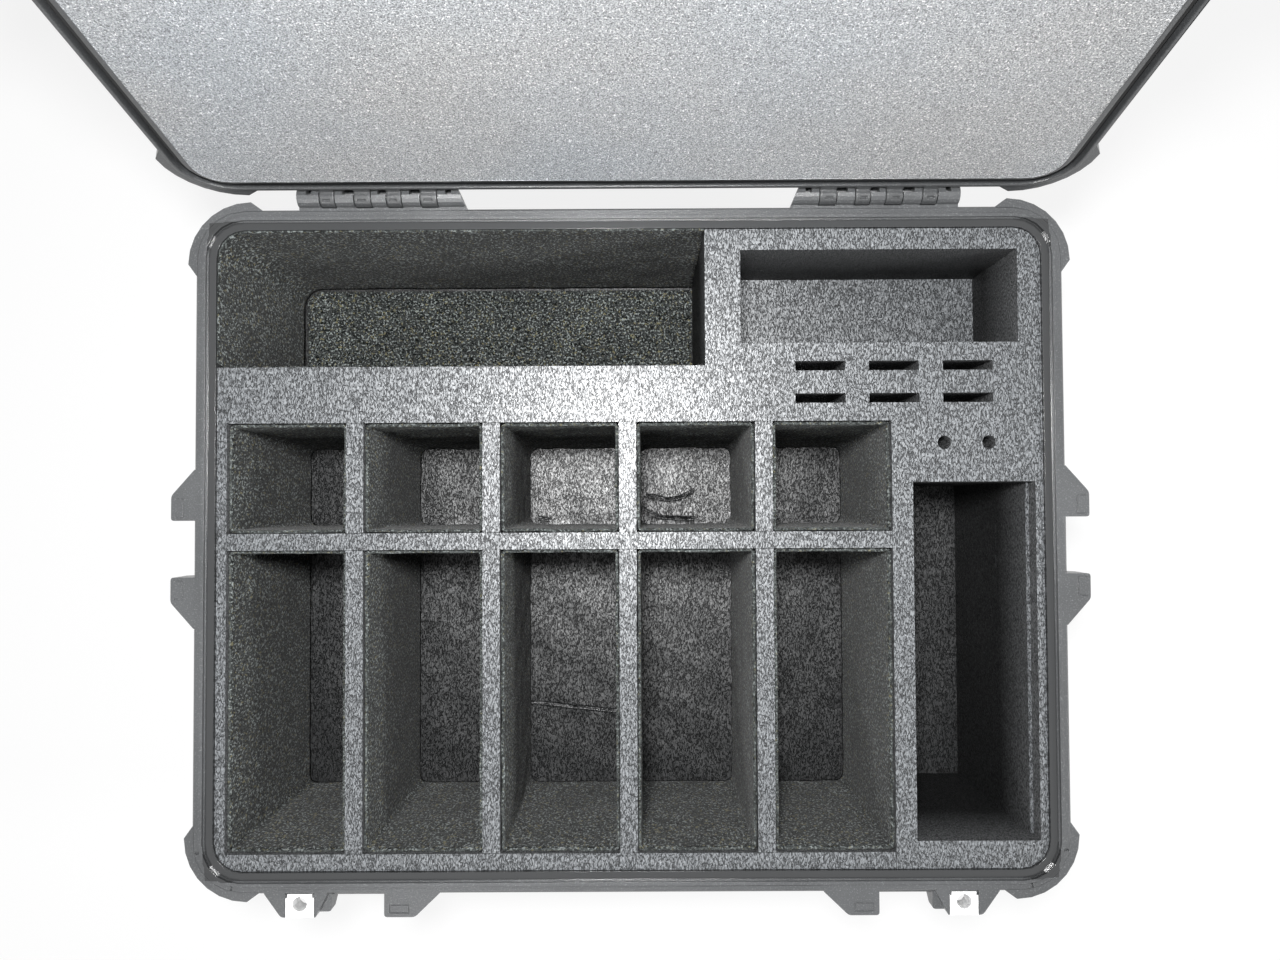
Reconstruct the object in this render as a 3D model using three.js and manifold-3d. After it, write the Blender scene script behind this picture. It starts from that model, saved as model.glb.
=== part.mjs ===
// A hard carrying case with a padded, divided inside, standing open.
// Sizes are in millimetres and angles in degrees.
// X runs along the hinges, Y towards them and Z up.
// The origin is the middle of the face that the case rests on.

import * as THREE from 'three';
import { mergeVertices } from 'three/addons/utils/BufferGeometryUtils.js';
import Module from 'manifold-3d';

const wasm = await Module();
wasm.setup();

// Rim, where the base and the lid meet
const rimLength = 573;
const rimDepth = 448.5;
const rimCornerRadius = 32;
const rimPlane = 168;
const rimSeam = 0.4;
const rimEdgeChamfer = 1.2;
const leastCornerRadius = 4;
const lidHeight = 52;

// Shell walls
const wallThickness = 4;
const floorThickness = 4.5;
const flangeWidth = 9.5;
const baseFlangeThickness = 5;
const baseSkirtDrop = 11;
const baseSkirtThickness = 3;
const baseDraft = 3.5;
const baseBottomChamfer = 6;
const insideBottomChamfer = 3;
const lidFlangeThickness = 9;
const lidFlangeSlope = 3;
const lidDraft = 3;
const lidShoulderHeight = 10;
const lidShoulderWidth = 6;

// Face that the case rests on, and the tray in the lid that takes it when cases are stacked
const footPanelHeight = 3.5;
const footPanelInset = 10;
const footGrooveWidth = 14;
const footGrooveDepth = 2;
const footGrooveOffset = 105;
const stackTrayDepth = 2.4;
const stackTrayClearance = 2;
const lidRibHeight = 1.4;
const lidRibWidth = 12;
const lidRibEndGap = 26;
const lidRibShares = [-0.72, -0.48, -0.24, 0.24, 0.48, 0.72];

// Ridge on the base's rim, and the groove and ring seal in the lid's rim
const ridgeInset = 5.3;
const ridgeWidth = 2.2;
const ridgeHeight = 2.6;
const rimGrooveInset = 8.2;
const rimGrooveWidth = 0.8;
const rimGrooveDepth = 0.6;
const sealWidth = 5.2;
const sealHeight = 3.3;
const sealClearance = 0.5;
const sealCornerShare = 0.3;

// Corner bumpers
const bumperCentreInset = 35.5;
const bumperRadius = 41;
const bumperEnd = 8;
const bumperRamp = 8;
const bumperHeight = 28;
const bumperStep = 0.8;
const bumperTaperHeight = 8;
const bumperTaper = 4;
const bumperSteps = 7;
const bumperMarkRadius = 31;
const bumperMarkWidth = 1.4;
const bumperMarkDepth = 0.8;
const bumperMarkAngle = 16;
const bumperHookLength = 4;

// Latch lugs, which stand in pairs on the base and on the lid
const latchGap = 37.2;
const frontLatchInset = 106.95;
const lugReach = 15.2;
const lugHeight = 28;
const lugTaperHeight = 10;
const lugTaper = 9;
const lugCornerRadius = 2;
const frontLugWidth = 20;
const frontLugChamfer = 16;
const sideLugWidth = 16.4;
const sideLugChamfer = 17.2;
const padlockLugWidth = 30;
const padlockLugChamfer = 11;
const lugMarkLength = 13;
const lugMarkWidth = 6;
const lugMarkEdge = 2.4;
const lugMarkLine = 0.9;
const lugMarkDepth = 0.6;

// Padlock eyes and their steel plates
const padlockPlateStart = 8.6;
const padlockPlateWidth = 18.4;
const padlockPlateThickness = 2;
const padlockPlateNotch = 1.2;
const padlockNotchLength = 2.4;
const padlockHoleRadius = 4.8;
const padlockHoleReach = 6.6;
const padlockSleeveWall = 1.2;
const padlockTabThickness = 13;
const padlockSlopeWidth = 7.6;
const padlockSlopeDepth = 9;

// Catch on the base, under which a latch's nose sits
const catchReach = 5.5;
const catchTop = 13;
const catchBottom = 20;

// Latch: an arm on the lid, with a lever at its end that carries the nose
const armPivotReach = 9;
const armPivotHeight = 12;
const armPinRadius = 2;
const armPinHold = 7.5;
const armBossRadius = 4.6;
const armOuterReach = 16;
const armPlateThickness = 3.5;
const armHeel = 7;
const armPlateBottom = 16;
const armCheekThickness = 3.2;
const armCheekBottom = 31;
const armCheekTop = 2;
const armOpening = 110;
const leverPivotReach = 10;
const leverPivotDrop = 25;
const leverPinRadius = 1.6;
const leverBossRadius = 3.8;
const leverPlateTop = 20;
const leverBottom = 54;
const leverShoulder = 33;
const leverLipReach = 4;
const leverLipHeight = 7;
const leverNoseReach = 1.6;
const leverNoseThickness = 3.4;
const leverOpening = 55;
const latchSideGap = 0.5;

// Hinges
const hingeOffset = 7.66;
const hingeBarrelRadius = 6.3;
const hingePinRadius = 2.6;
const hingeEndInset = 68.1;
const hingeLength = 110.7;
const hingeGussetDrop = 26;
const hingeKnuckleGap = 0.6;
const hingeRunningGap = 0.4;
const hingePinEndGap = 1;
const hingeInnerSlant = 5.3;
const hingeWindowSide = 0.3;
const hingeWindowDrop = 1;
const hingeWindowShares = [[0.43, 0.68], [0.4, 1.05], [0.44, 1.05], [0.4, 1.05], [0.28, 0.52]];
const hingeSlotShares = [0.2, 0.7];
const hingeSlotWidth = 1.2;
const hingeSlotDepth = 1;
const hingeSlotAngle = 225;
const hingeKnuckleShares = [0.136, 0.091, 0.114, 0.102, 0.091, 0.091, 0.11, 0.102, 0.163];
const hingeTangentShare = 0.7;
const lidOpening = 103.33;

// Carrying handles
const handleHalfSpan = 66;
const handleArmWidth = 13;
const handleEyeRadius = 7;
const handlePivotReach = 1;
const handlePivotDrop = 62;
const handleDrop = 40;
const handleGripDepth = 16;
const handleGripHeight = 22;
const handleGripSides = 10;
const handlePinRadius = 3;
const handlePinEnd = 1;
const handleEarThickness = 9;
const handleEarRadius = 8;
const handleSideGap = 0.5;

// Stiffening ribs on the outside of the base
const ribWidth = 4;
const ribProud = 4.5;
const ribBottom = 26;
const ribSlope = 14;
const sideRibOffset = 112;
const sideRibSpacing = 38;
const backRibOffset = 44;

// Pressure valve in the front wall
const valveDrop = 60;
const valveBossRadius = 14;
const valveBossReach = 8;
const valveCapRadius = 11;
const valveCapHeight = 5;
const valveCapStep = 2;
const valveStemRadius = 5.5;
const valveNutRadius = 9.5;
const valveNutThickness = 4.5;
const valveSealThickness = 1.4;
const valveSealWidth = 2.4;
const valveVentRadius = 1.5;

// Foam insert
const padThickness = 5;
const foamRecess = 2;
const foamUpperThickness = 64;
const lidFoamProud = 1.6;
const borderSide = 7;
const borderFront = 11.15;
const rightBlockWidth = 100;
const dividerThickness = 11.5;
const crossDividerThickness = 11;
const backPocketLength = 73;
const gridColumns = 5;
const bandDepth = 37.1;
const largePocketDepth = 91;
const foamWallThickness = 23.6;
const shallowPocketLength = 183.5;
const shallowPocketDepthY = 62;
const shallowPocketBack = 14.35;
const shallowPocketSide = 15.55;
const shallowPocketDrop = 83.6;
const tallPocketBack = 40.65;
const tallPocketWidth = 78.1;
const tallPocketSide = 13.7;
const tallPocketFront = 18.25;
const tallLedgeWidth = 2.5;
const tallLedgeDrop = 11;

// Slots and finger holes in the foam
const slotLength = 33;
const slotWidth = 6.3;
const slotColumns = 3;
const slotRows = 2;
const slotColumnPitch = 48.8;
const slotRowPitch = 21.45;
const slotFirstInset = 146.7;
const slotFrontInset = 15;
const holeRadius = 4.5;
const holePitch = 29.4;
const holeFirstInset = 65.25;
const holeFrontInset = 14.8;

// Felt linings
const feltThickness = 1.8;
const feltTopGap = 9;
const largeFeltTopDrop = 2;

// Clearances and counts
const fit = 0.3;
const overrun = 2;
const cornerSteps = 5;
const softSteps = 3;
const roundSides = 16;
const boreSides = 12;
const nutSides = 6;
const mergeDistance = 1e-4;

// Places worked out from the sizes above
const halfLength = rimLength / 2;
const halfDepth = rimDepth / 2;
const hingeY = halfDepth + hingeOffset;
const hingeInnerEnd = halfLength - hingeEndInset - hingeLength;
const frontLatchOffset = halfLength - frontLatchInset;
const gapHalf = latchGap / 2;
const wallInset = flangeWidth;
const insideInset = flangeWidth + wallThickness;
const earOuter = handleHalfSpan + handleSideGap + handleEarThickness;
const valveOffset = -(earOuter + frontLatchOffset - gapHalf - ribWidth) / 2;
const valveHeight = rimPlane - valveDrop;
const insideFloor = footPanelHeight + floorThickness;
const padBottom = insideFloor + fit;
const padTop = padBottom + padThickness;
const foamBottom = padTop + fit;
const foamTop = rimPlane - foamRecess;
const foamLayerSeam = foamTop - foamUpperThickness;
const insideRight = halfLength - insideInset;
const insideLeft = -insideRight;
const insideBack = halfDepth - insideInset;
const insideFront = -insideBack;
const gridLeft = insideLeft + borderSide;
const gridRight = insideRight - rightBlockWidth;
const gridPitch = (gridRight - gridLeft + dividerThickness) / gridColumns;
const pocketWidth = gridPitch - dividerThickness;
const bandBack = insideBack - largePocketDepth;
const bandFront = bandBack - bandDepth;
const crossBack = bandFront - backPocketLength;
const crossFront = crossBack - crossDividerThickness;
const gridFront = insideFront + borderFront;
const frontPocketLength = crossFront - gridFront;
const shallowRight = insideRight - shallowPocketSide;
const shallowLeft = shallowRight - shallowPocketLength;
const shallowBackY = insideBack - shallowPocketBack;
const shallowFrontY = shallowBackY - shallowPocketDepthY;
const shallowFloor = foamTop - shallowPocketDrop;
const largePocketRight = shallowLeft - foamWallThickness;
const tallLeft = gridRight + tallPocketSide;
const tallRight = tallLeft + tallPocketWidth;
const tallFront = insideFront + tallPocketFront;
const tallBack = bandFront - tallPocketBack;
const slotFirstX = insideRight - slotFirstInset;
const slotFirstY = bandFront + slotFrontInset;
const holeFirstX = insideRight - holeFirstInset;
const holeY = bandFront - holeFrontInset;
const padlockBoreRadius = padlockHoleRadius + padlockSleeveWall + fit;

// Materials
function plainMaterial(color, roughness, metalness) {
  return new THREE.MeshStandardMaterial({ color, roughness, metalness, flatShading: true });
}
const shellMaterial = () => plainMaterial(0x5b5e63, 0.45, 0);
const latchMaterial = () => plainMaterial(0x3f4145, 0.5, 0);
const gripMaterial = () => plainMaterial(0x2c2d30, 0.8, 0);
const steelMaterial = () => plainMaterial(0xc9cbcc, 0.35, 0.9);
const sealMaterial = () => plainMaterial(0x17181a, 0.7, 0);
const foamMaterial = () => plainMaterial(0x77797e, 0.95, 0);
const lidFoamMaterial = () => plainMaterial(0x8f9196, 0.95, 0);
const padMaterial = () => plainMaterial(0x3a3b3f, 0.85, 0);
const feltMaterial = () => plainMaterial(0x3c433f, 1, 0);

// Outlines
function roundedRectangle(halfX, halfY, radius) {
  const points = [];
  for (const [turn, sx, sy] of [[0, 1, 1], [1, -1, 1], [2, -1, -1], [3, 1, -1]]) {
    for (let step = 0; step <= cornerSteps; step++) {
      const angle = (turn + step / cornerSteps) * Math.PI / 2;
      const x = sx * (halfX - radius) + radius * Math.cos(angle);
      const y = sy * (halfY - radius) + radius * Math.sin(angle);
      points.push(new THREE.Vector2(x, y));
    }
  }
  return points;
}

function rimOutline(inset) {
  const radius = Math.max(rimCornerRadius - inset, leastCornerRadius);
  return roundedRectangle(halfLength - inset, halfDepth - inset, radius);
}

function outline(pairs) {
  const points = pairs.map(([a, b]) => new THREE.Vector2(a, b));
  return THREE.ShapeUtils.area(points) < 0 ? points.reverse() : points;
}

// One corner of an outline, drawn as a short curve that starts and ends at a distance from it
function softCorner(pairs, index, distance) {
  const corner = new THREE.Vector2(...pairs[index]);
  const [before, after] = [index - 1, index + 1].map((near) => {
    return new THREE.Vector2(...pairs[near]).sub(corner).setLength(distance).add(corner);
  });
  const curve = new THREE.QuadraticBezierCurve(before, corner, after);
  return curve.getPoints(softSteps).map((point) => [point.x, point.y]);
}

// Geometry builders. A skin runs through rings of equal point counts, from the first cap to the last.
function ringGeometry(rings, closed) {
  const count = rings[0].points.length;
  const positions = rings.flatMap(({ points, height }) => points.flatMap((p) => [p.x, p.y, height]));
  const faces = [];
  const bands = closed ? rings.length : rings.length - 1;
  for (let band = 0; band < bands; band++) {
    const low = band * count;
    const high = ((band + 1) % rings.length) * count;
    for (let i = 0; i < count; i++) {
      const next = (i + 1) % count;
      faces.push(low + i, low + next, high + next, low + i, high + next, high + i);
    }
  }
  if (!closed) {
    const last = (rings.length - 1) * count;
    for (const [a, b, c] of THREE.ShapeUtils.triangulateShape(rings[0].points, [])) faces.push(a, c, b);
    for (const [a, b, c] of THREE.ShapeUtils.triangulateShape(rings.at(-1).points, [])) {
      faces.push(last + a, last + b, last + c);
    }
  }
  const geometry = new THREE.BufferGeometry();
  geometry.setAttribute('position', new THREE.Float32BufferAttribute(positions, 3));
  geometry.setIndex(faces);
  return geometry;
}

const skin = (rings) => ringGeometry(rings, false);
const hoop = (rings) => ringGeometry(rings, true);

// A profile of [inset, height] pairs, carried round the rim.
function rimSkin(profile) {
  return skin(profile.map(([inset, height]) => ({ points: rimOutline(inset), height })));
}

// A square channel round the rim, from one inset to another and from one height to another.
function rimChannel(outer, inner, low, high) {
  const corners = [[outer, low], [outer, high], [inner, high], [inner, low]];
  return hoop(corners.map(([inset, height]) => ({ points: rimOutline(inset), height })));
}

function block(low, high) {
  const size = high.map((value, i) => value - low[i]);
  const middle = high.map((value, i) => (value + low[i]) / 2);
  return new THREE.BoxGeometry(...size).translate(...middle);
}

function prism(points, low, high) {
  const shape = new THREE.Shape(points);
  return new THREE.ExtrudeGeometry(shape, { depth: high - low, bevelEnabled: false }).translate(0, 0, low);
}

// An outline in Y and Z, extruded along X.
function prismAlongX(points, low, high) {
  const turn = new THREE.Matrix4().makeBasis(
    new THREE.Vector3(0, 1, 0),
    new THREE.Vector3(0, 0, 1),
    new THREE.Vector3(1, 0, 0),
  );
  return prism(points, low, high).applyMatrix4(turn);
}

function rodAlongX(radius, low, high, y, z, sides = boreSides) {
  const rod = new THREE.CylinderGeometry(radius, radius, high - low, sides);
  return rod.rotateZ(-Math.PI / 2).translate((low + high) / 2, y, z);
}

function rodAlongY(radius, low, high, x, z, sides = roundSides) {
  const rod = new THREE.CylinderGeometry(radius, radius, high - low, sides);
  return rod.translate(x, (low + high) / 2, z);
}

function rodAlongZ(radius, low, high, x, y, sides = roundSides) {
  const rod = new THREE.CylinderGeometry(radius, radius, high - low, sides);
  return rod.rotateX(Math.PI / 2).translate(x, y, (low + high) / 2);
}

// Solids
function solid(geometry) {
  const plain = geometry.index ? geometry.toNonIndexed() : geometry;
  const bare = new THREE.BufferGeometry().setAttribute('position', plain.getAttribute('position'));
  const merged = mergeVertices(bare, mergeDistance);
  const triVerts = new Uint32Array(merged.index.array);
  const vertProperties = merged.getAttribute('position').array;
  return new wasm.Manifold(new wasm.Mesh({ numProp: 3, vertProperties, triVerts }));
}

const joined = (first, ...others) => others.reduce((all, g) => all.add(solid(g)), first);
const cutBy = (first, ...others) => others.reduce((all, g) => all.subtract(solid(g)), first);

function meshOf(name, body, material) {
  const made = body.getMesh();
  const geometry = new THREE.BufferGeometry();
  geometry.setAttribute('position', new THREE.BufferAttribute(new Float32Array(made.vertProperties), 3));
  geometry.setIndex(new THREE.BufferAttribute(new Uint32Array(made.triVerts), 1));
  geometry.computeVertexNormals();
  const mesh = new THREE.Mesh(geometry, material);
  mesh.name = name;
  return mesh;
}

// Stations: a frame on the rim's edge, whose -Y points outward and whose X runs along the rim.
function stationMatrix(side, along) {
  const turns = { front: 0, left: -1, right: 1 };
  const places = {
    front: [along, -halfDepth, 0],
    left: [-halfLength, along, 0],
    right: [halfLength, along, 0],
  };
  const matrix = new THREE.Matrix4().makeRotationZ(turns[side] * Math.PI / 2);
  return matrix.setPosition(...places[side]);
}

const latchStations = [
  { name: 'front_left', side: 'front', along: -frontLatchOffset, padlockSide: -1 },
  { name: 'front_right', side: 'front', along: frontLatchOffset, padlockSide: 1 },
  { name: 'side_left', side: 'left', along: 0, padlockSide: 0 },
  { name: 'side_right', side: 'right', along: 0, padlockSide: 0 },
];
const handleStations = [
  { name: 'front', side: 'front', along: 0 },
  { name: 'left', side: 'left', along: 0 },
  { name: 'right', side: 'right', along: 0 },
];
const lift = (height) => new THREE.Matrix4().makeTranslation(0, 0, height);

// A skin that keeps its outline near the rim and draws in to another one away from it.
function rimBlock(full, reduced, start, straight, end) {
  const rings = [
    { points: full, height: start },
    { points: full, height: straight },
    { points: reduced, height: end },
  ];
  return skin(end < start ? rings.reverse() : rings);
}

// Lugs, for the base with direction -1 and for the lid with direction 1
function lugSizes(station, side) {
  if (station.padlockSide === side) return [padlockLugWidth, padlockLugChamfer];
  return station.padlockSide === 0 ? [sideLugWidth, sideLugChamfer] : [frontLugWidth, frontLugChamfer];
}

function lugGeometry(station, side, direction) {
  const [width, chamfer] = lugSizes(station, side);
  const shape = (reach) => {
    const pairs = [
      [side * gapHalf, flangeWidth],
      [side * gapHalf, -reach],
      [side * (gapHalf + width), -reach],
      [side * (gapHalf + width + chamfer), 0],
      [side * (gapHalf + width + chamfer), flangeWidth],
    ];
    const [first, second] = [1, 2].map((index) => softCorner(pairs, index, lugCornerRadius));
    return outline([pairs[0], ...first, ...second, pairs[3], pairs[4]]);
  };
  const start = direction > 0 ? rimSeam : 0;
  const straight = direction * (lugHeight - lugTaperHeight);
  return rimBlock(shape(lugReach), shape(lugReach - lugTaper), start, straight, direction * lugHeight);
}

// The middle of a padlock plate, along the rim from the station.
const plateMiddle = (side) => side * (gapHalf + padlockPlateStart + padlockPlateWidth / 2);

function padlockCuts(side, direction) {
  const middle = plateMiddle(side);
  const halfRecess = padlockPlateWidth / 2 + fit;
  const outer = direction > 0 ? padlockTabThickness + rimSeam : 0;
  const sunk = outer - padlockPlateThickness - fit;
  const relief = [direction * (padlockTabThickness + rimSeam), direction * (lugHeight + overrun)];
  return [
    block([middle - halfRecess, -lugReach - overrun, sunk], [middle + halfRecess, fit, outer + overrun]),
    rodAlongZ(padlockBoreRadius, -lugHeight, lugHeight, middle, -padlockHoleReach, boreSides),
    block(
      [middle - halfRecess, -lugReach - overrun, Math.min(...relief)],
      [middle + halfRecess, 0, Math.max(...relief)],
    ),
  ];
}

// The slope between a base's padlock lug and the latch gap, cut down from the rim
function padlockSlope(side) {
  const points = outline([
    [side * (gapHalf - overrun), -fit],
    [side * gapHalf, -fit],
    [side * (gapHalf + padlockSlopeWidth), -lugReach],
    [side * (gapHalf + padlockSlopeWidth), -lugReach - overrun],
    [side * (gapHalf - overrun), -lugReach - overrun],
  ]);
  return prism(points, -padlockSlopeDepth, overrun);
}

// Thin lines sunk in a lug's top: a rectangle in front, and a bracket at the sides
function lugMarks(station, side) {
  const [width] = lugSizes(station, side);
  const left = side * (gapHalf + width / 2) - lugMarkLength / 2;
  const right = left + lugMarkLength;
  const front = lugMarkEdge - lugReach;
  const back = front + lugMarkWidth;
  const line = (x0, y0, x1, y1) => block([x0, y0, -lugMarkDepth], [x1, y1, overrun]);
  const lines = [
    line(left, front, left + lugMarkLine, back),
    line(right - lugMarkLine, front, right, back),
    line(left, back - lugMarkLine, right, back),
  ];
  if (station.padlockSide) lines.push(line(left, front, right, front + lugMarkLine));
  return lines;
}

function catchGeometry() {
  const points = outline([
    [flangeWidth + wallThickness / 2, -catchTop + wallThickness],
    [-catchReach, -catchTop],
    [-catchReach, -catchBottom],
    [flangeWidth + wallThickness / 2, -catchBottom],
  ]);
  return prismAlongX(points, -gapHalf - wallThickness, gapHalf + wallThickness);
}

// Corner bumpers
function bumperOutline(signX, signY, radius) {
  const x = halfLength - bumperCentreInset;
  const y = halfDepth - bumperCentreInset;
  const points = [[bumperCentreInset - overrun, -bumperEnd], [bumperCentreInset, -bumperEnd]];
  for (let step = 0; step <= bumperSteps; step++) {
    const angle = (step / bumperSteps) * Math.PI / 2;
    points.push([radius * Math.cos(angle), radius * Math.sin(angle)]);
  }
  points.splice(2, 0, [radius, bumperRamp - bumperEnd - fit]);
  points.push([bumperRamp - bumperEnd - fit, radius]);
  points.push([-bumperEnd, bumperCentreInset], [-bumperEnd, bumperCentreInset - overrun]);
  return outline(points.map(([px, py]) => [signX * (x + px), signY * (y + py)]));
}

function bumperGeometries(direction) {
  const start = direction > 0 ? rimSeam + bumperStep : -bumperStep;
  const straight = direction * (bumperHeight - bumperTaperHeight);
  const end = direction * bumperHeight;
  return [[1, 1], [-1, 1], [-1, -1], [1, -1]].map(([signX, signY]) => rimBlock(
    bumperOutline(signX, signY, bumperRadius),
    bumperOutline(signX, signY, bumperRadius - bumperTaper),
    start,
    straight,
    end,
  ));
}

// An arc with a hook at each end, sunk in the top of each front bumper
function bumperMarks() {
  const first = THREE.MathUtils.degToRad(bumperMarkAngle);
  const last = Math.PI / 2 - first;
  const inner = bumperMarkRadius;
  const outer = bumperMarkRadius + bumperMarkWidth;
  const hookEnd = bumperMarkRadius + bumperHookLength;
  const half = bumperMarkWidth / 2;
  return [-1, 1].flatMap((sign) => {
    const place = (radius, angle, aside) => [
      sign * (halfLength - bumperCentreInset + radius * Math.cos(angle) - aside * Math.sin(angle)),
      -(halfDepth - bumperCentreInset + radius * Math.sin(angle) + aside * Math.cos(angle)),
    ];
    const angles = [];
    for (let step = 0; step <= bumperSteps; step++) {
      angles.push(first + (step / bumperSteps) * (last - first));
    }
    const arc = [
      ...angles.map((angle) => place(inner, angle, 0)),
      ...angles.toReversed().map((angle) => place(outer, angle, 0)),
    ];
    const hooks = [first, last].map((angle) => [
      place(inner, angle, -half),
      place(hookEnd, angle, -half),
      place(hookEnd, angle, half),
      place(inner, angle, half),
    ]);
    const top = -bumperStep;
    return [arc, ...hooks].map((points) => prism(outline(points), top - bumperMarkDepth, top + overrun));
  });
}

// Hinge knuckles, numbered from a hinge's outer end. Even ones belong to the base, odd ones to the lid.
function knuckleSpans(mirror) {
  const spans = [];
  let start = -(hingeInnerEnd + hingeLength);
  for (const share of hingeKnuckleShares) {
    const end = start + share * hingeLength;
    spans.push([start + hingeKnuckleGap / 2, end - hingeKnuckleGap / 2]);
    start = end;
  }
  return mirror ? spans.map(([low, high]) => [-high, -low]) : spans;
}

const everySecond = (first) => [false, true].flatMap((mirror) => {
  return knuckleSpans(mirror).filter((span, i) => i % 2 === first);
});
const baseKnuckles = () => everySecond(0);
const lidKnuckles = () => everySecond(1);

function knuckleGeometries(direction) {
  const back = -(hingeOffset + flangeWidth + wallThickness / 2);
  const tangent = hingeTangentShare * hingeBarrelRadius;
  const gusset = outline([
    [back, direction * hingeGussetDrop],
    [tangent, direction * tangent],
    [0, direction * rimSeam],
    [back, direction * rimSeam],
  ]);
  const spans = direction > 0 ? lidKnuckles() : baseKnuckles();
  const barrels = spans.map(([low, high]) => rodAlongX(hingeBarrelRadius, low, high, 0, 0, roundSides));
  const hingeEnds = [-1, 1].map((sign) => {
    return [sign * hingeInnerEnd, sign * (hingeInnerEnd + hingeLength)].sort((a, b) => a - b);
  });
  const webs = direction > 0 ? spans : hingeEnds;
  return [...barrels, ...webs.map(([low, high]) => prismAlongX(gusset, low, high))];
}

// Room in the base's web for the lid's knuckles
function saddleCuts() {
  const room = hingeKnuckleGap / 2;
  const radius = hingeBarrelRadius + hingeRunningGap;
  return lidKnuckles().map(([low, high]) => rodAlongX(radius, low - room, high + room, 0, 0, roundSides));
}

// Stretches of a span between two shares, counted from the hinge's outer end
function stretch([low, high], shares) {
  const length = high - low;
  const ends = shares.map((share) => (low < 0 ? low + share * length : high - share * length));
  return ends.sort((a, b) => a - b);
}

// Windows in the base's knuckles, through which the pin shows
function hingeWindows() {
  const reach = hingeBarrelRadius + overrun;
  return baseKnuckles().map((span, i) => {
    const [low, high] = stretch(span, hingeWindowShares[i % hingeWindowShares.length]);
    return block([low, hingeWindowSide, -hingeWindowDrop], [high, reach, reach]);
  });
}

// Short slots in the lid's knuckles
function hingeSlots() {
  return lidKnuckles().map((span) => {
    const [low, high] = stretch(span, hingeSlotShares);
    const slot = block(
      [low, hingeBarrelRadius - hingeSlotDepth, -hingeSlotWidth / 2],
      [high, hingeBarrelRadius + overrun, hingeSlotWidth / 2],
    );
    return slot.rotateX(THREE.MathUtils.degToRad(hingeSlotAngle));
  });
}

// The slanted inner ends of the hinges
function hingeSlants() {
  const reach = hingeBarrelRadius;
  return [-1, 1].map((sign) => {
    const points = outline([
      [sign * (hingeInnerEnd - overrun), -reach],
      [sign * hingeInnerEnd, -reach],
      [sign * (hingeInnerEnd + hingeInnerSlant), reach],
      [sign * (hingeInnerEnd + hingeInnerSlant), reach + overrun],
      [sign * (hingeInnerEnd - overrun), reach + overrun],
    ]);
    return prism(points, -hingeGussetDrop, reach + overrun);
  });
}

function hingeBores() {
  const radius = hingePinRadius + fit;
  const outer = hingeInnerEnd + hingeLength + overrun;
  const inner = hingeInnerEnd - overrun;
  return [rodAlongX(radius, -outer, -inner, 0, 0), rodAlongX(radius, inner, outer, 0, 0)];
}

// Insides of the two shells, drawn in by a clearance
function baseInside(clearance, top = rimPlane + overrun) {
  const inset = insideInset + clearance;
  const floor = insideFloor + clearance;
  return rimSkin([
    [inset + baseDraft + insideBottomChamfer, floor],
    [inset + baseDraft, floor + insideBottomChamfer],
    [inset, rimPlane],
    [inset, top + overrun],
  ]);
}

function lidInside(clearance) {
  const inset = insideInset + clearance;
  const ceiling = lidHeight - stackTrayDepth - wallThickness - clearance;
  return rimSkin([
    [inset, -overrun],
    [inset, rimSeam],
    [inset + lidDraft, ceiling - lidShoulderHeight / 2],
    [inset + lidDraft + lidShoulderWidth / 2, ceiling],
  ]);
}

// Base shell
function outsideInsetAt(height) {
  const rise = rimPlane - baseFlangeThickness - footPanelHeight - baseBottomChamfer;
  const share = (rimPlane - baseFlangeThickness - height) / rise;
  return wallInset + baseDraft * share;
}

function ribGeometry(side, along, top) {
  const bottom = ribBottom;
  const low = outsideInsetAt(bottom);
  const high = outsideInsetAt(top);
  const points = outline([
    [high + wallThickness / 2, top],
    [high - ribProud, top],
    [low - ribProud, bottom + ribSlope],
    [low + wallThickness / 2, bottom],
  ]);
  const rib = prismAlongX(points, along - ribWidth / 2, along + ribWidth / 2);
  const turns = { front: 0, left: -1, right: 1, back: 2 };
  const reach = { front: halfDepth, left: halfLength, right: halfLength, back: halfDepth };
  return rib.translate(0, -reach[side], 0).rotateZ(turns[side] * Math.PI / 2);
}

function baseRibs() {
  const top = rimPlane - baseSkirtDrop + fit;
  const sides = [-1, 1].flatMap((sign) => [0, 1].flatMap((row) => {
    const along = sign * (sideRibOffset + row * sideRibSpacing);
    return [ribGeometry('left', along, top), ribGeometry('right', along, top)];
  }));
  const backs = [-1, 0, 1].map((place) => ribGeometry('back', place * backRibOffset, top));
  const fronts = [-1, 1].flatMap((sign) => [-1, 1].map((edge) => {
    const along = sign * frontLatchOffset + edge * (gapHalf + ribWidth / 2);
    return ribGeometry('front', along, rimPlane - catchBottom);
  }));
  return [...sides, ...backs, ...fronts];
}

function handleEars(station) {
  const y = -handlePivotReach;
  const z = rimPlane - handlePivotDrop;
  const wallY = outsideInsetAt(z) + wallThickness / 2;
  const start = handleHalfSpan + handleSideGap;
  const place = stationMatrix(station.side, station.along);
  return [-1, 1].flatMap((sign) => {
    const ends = [sign * start, sign * (start + handleEarThickness)];
    const low = Math.min(...ends);
    const high = Math.max(...ends);
    const web = outline([
      [wallY, z + 2 * handleEarRadius],
      [y, z + handleEarRadius],
      [y, z - handleEarRadius],
      [wallY, z - 2 * handleEarRadius],
    ]);
    return [
      rodAlongX(handleEarRadius, low, high, y, z).applyMatrix4(place),
      prismAlongX(web, low, high).applyMatrix4(place),
    ];
  });
}

function handleBores(station, radius) {
  const reach = earOuter + overrun;
  const bore = rodAlongX(radius, -reach, reach, -handlePivotReach, rimPlane - handlePivotDrop);
  return bore.applyMatrix4(stationMatrix(station.side, station.along));
}

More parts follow.
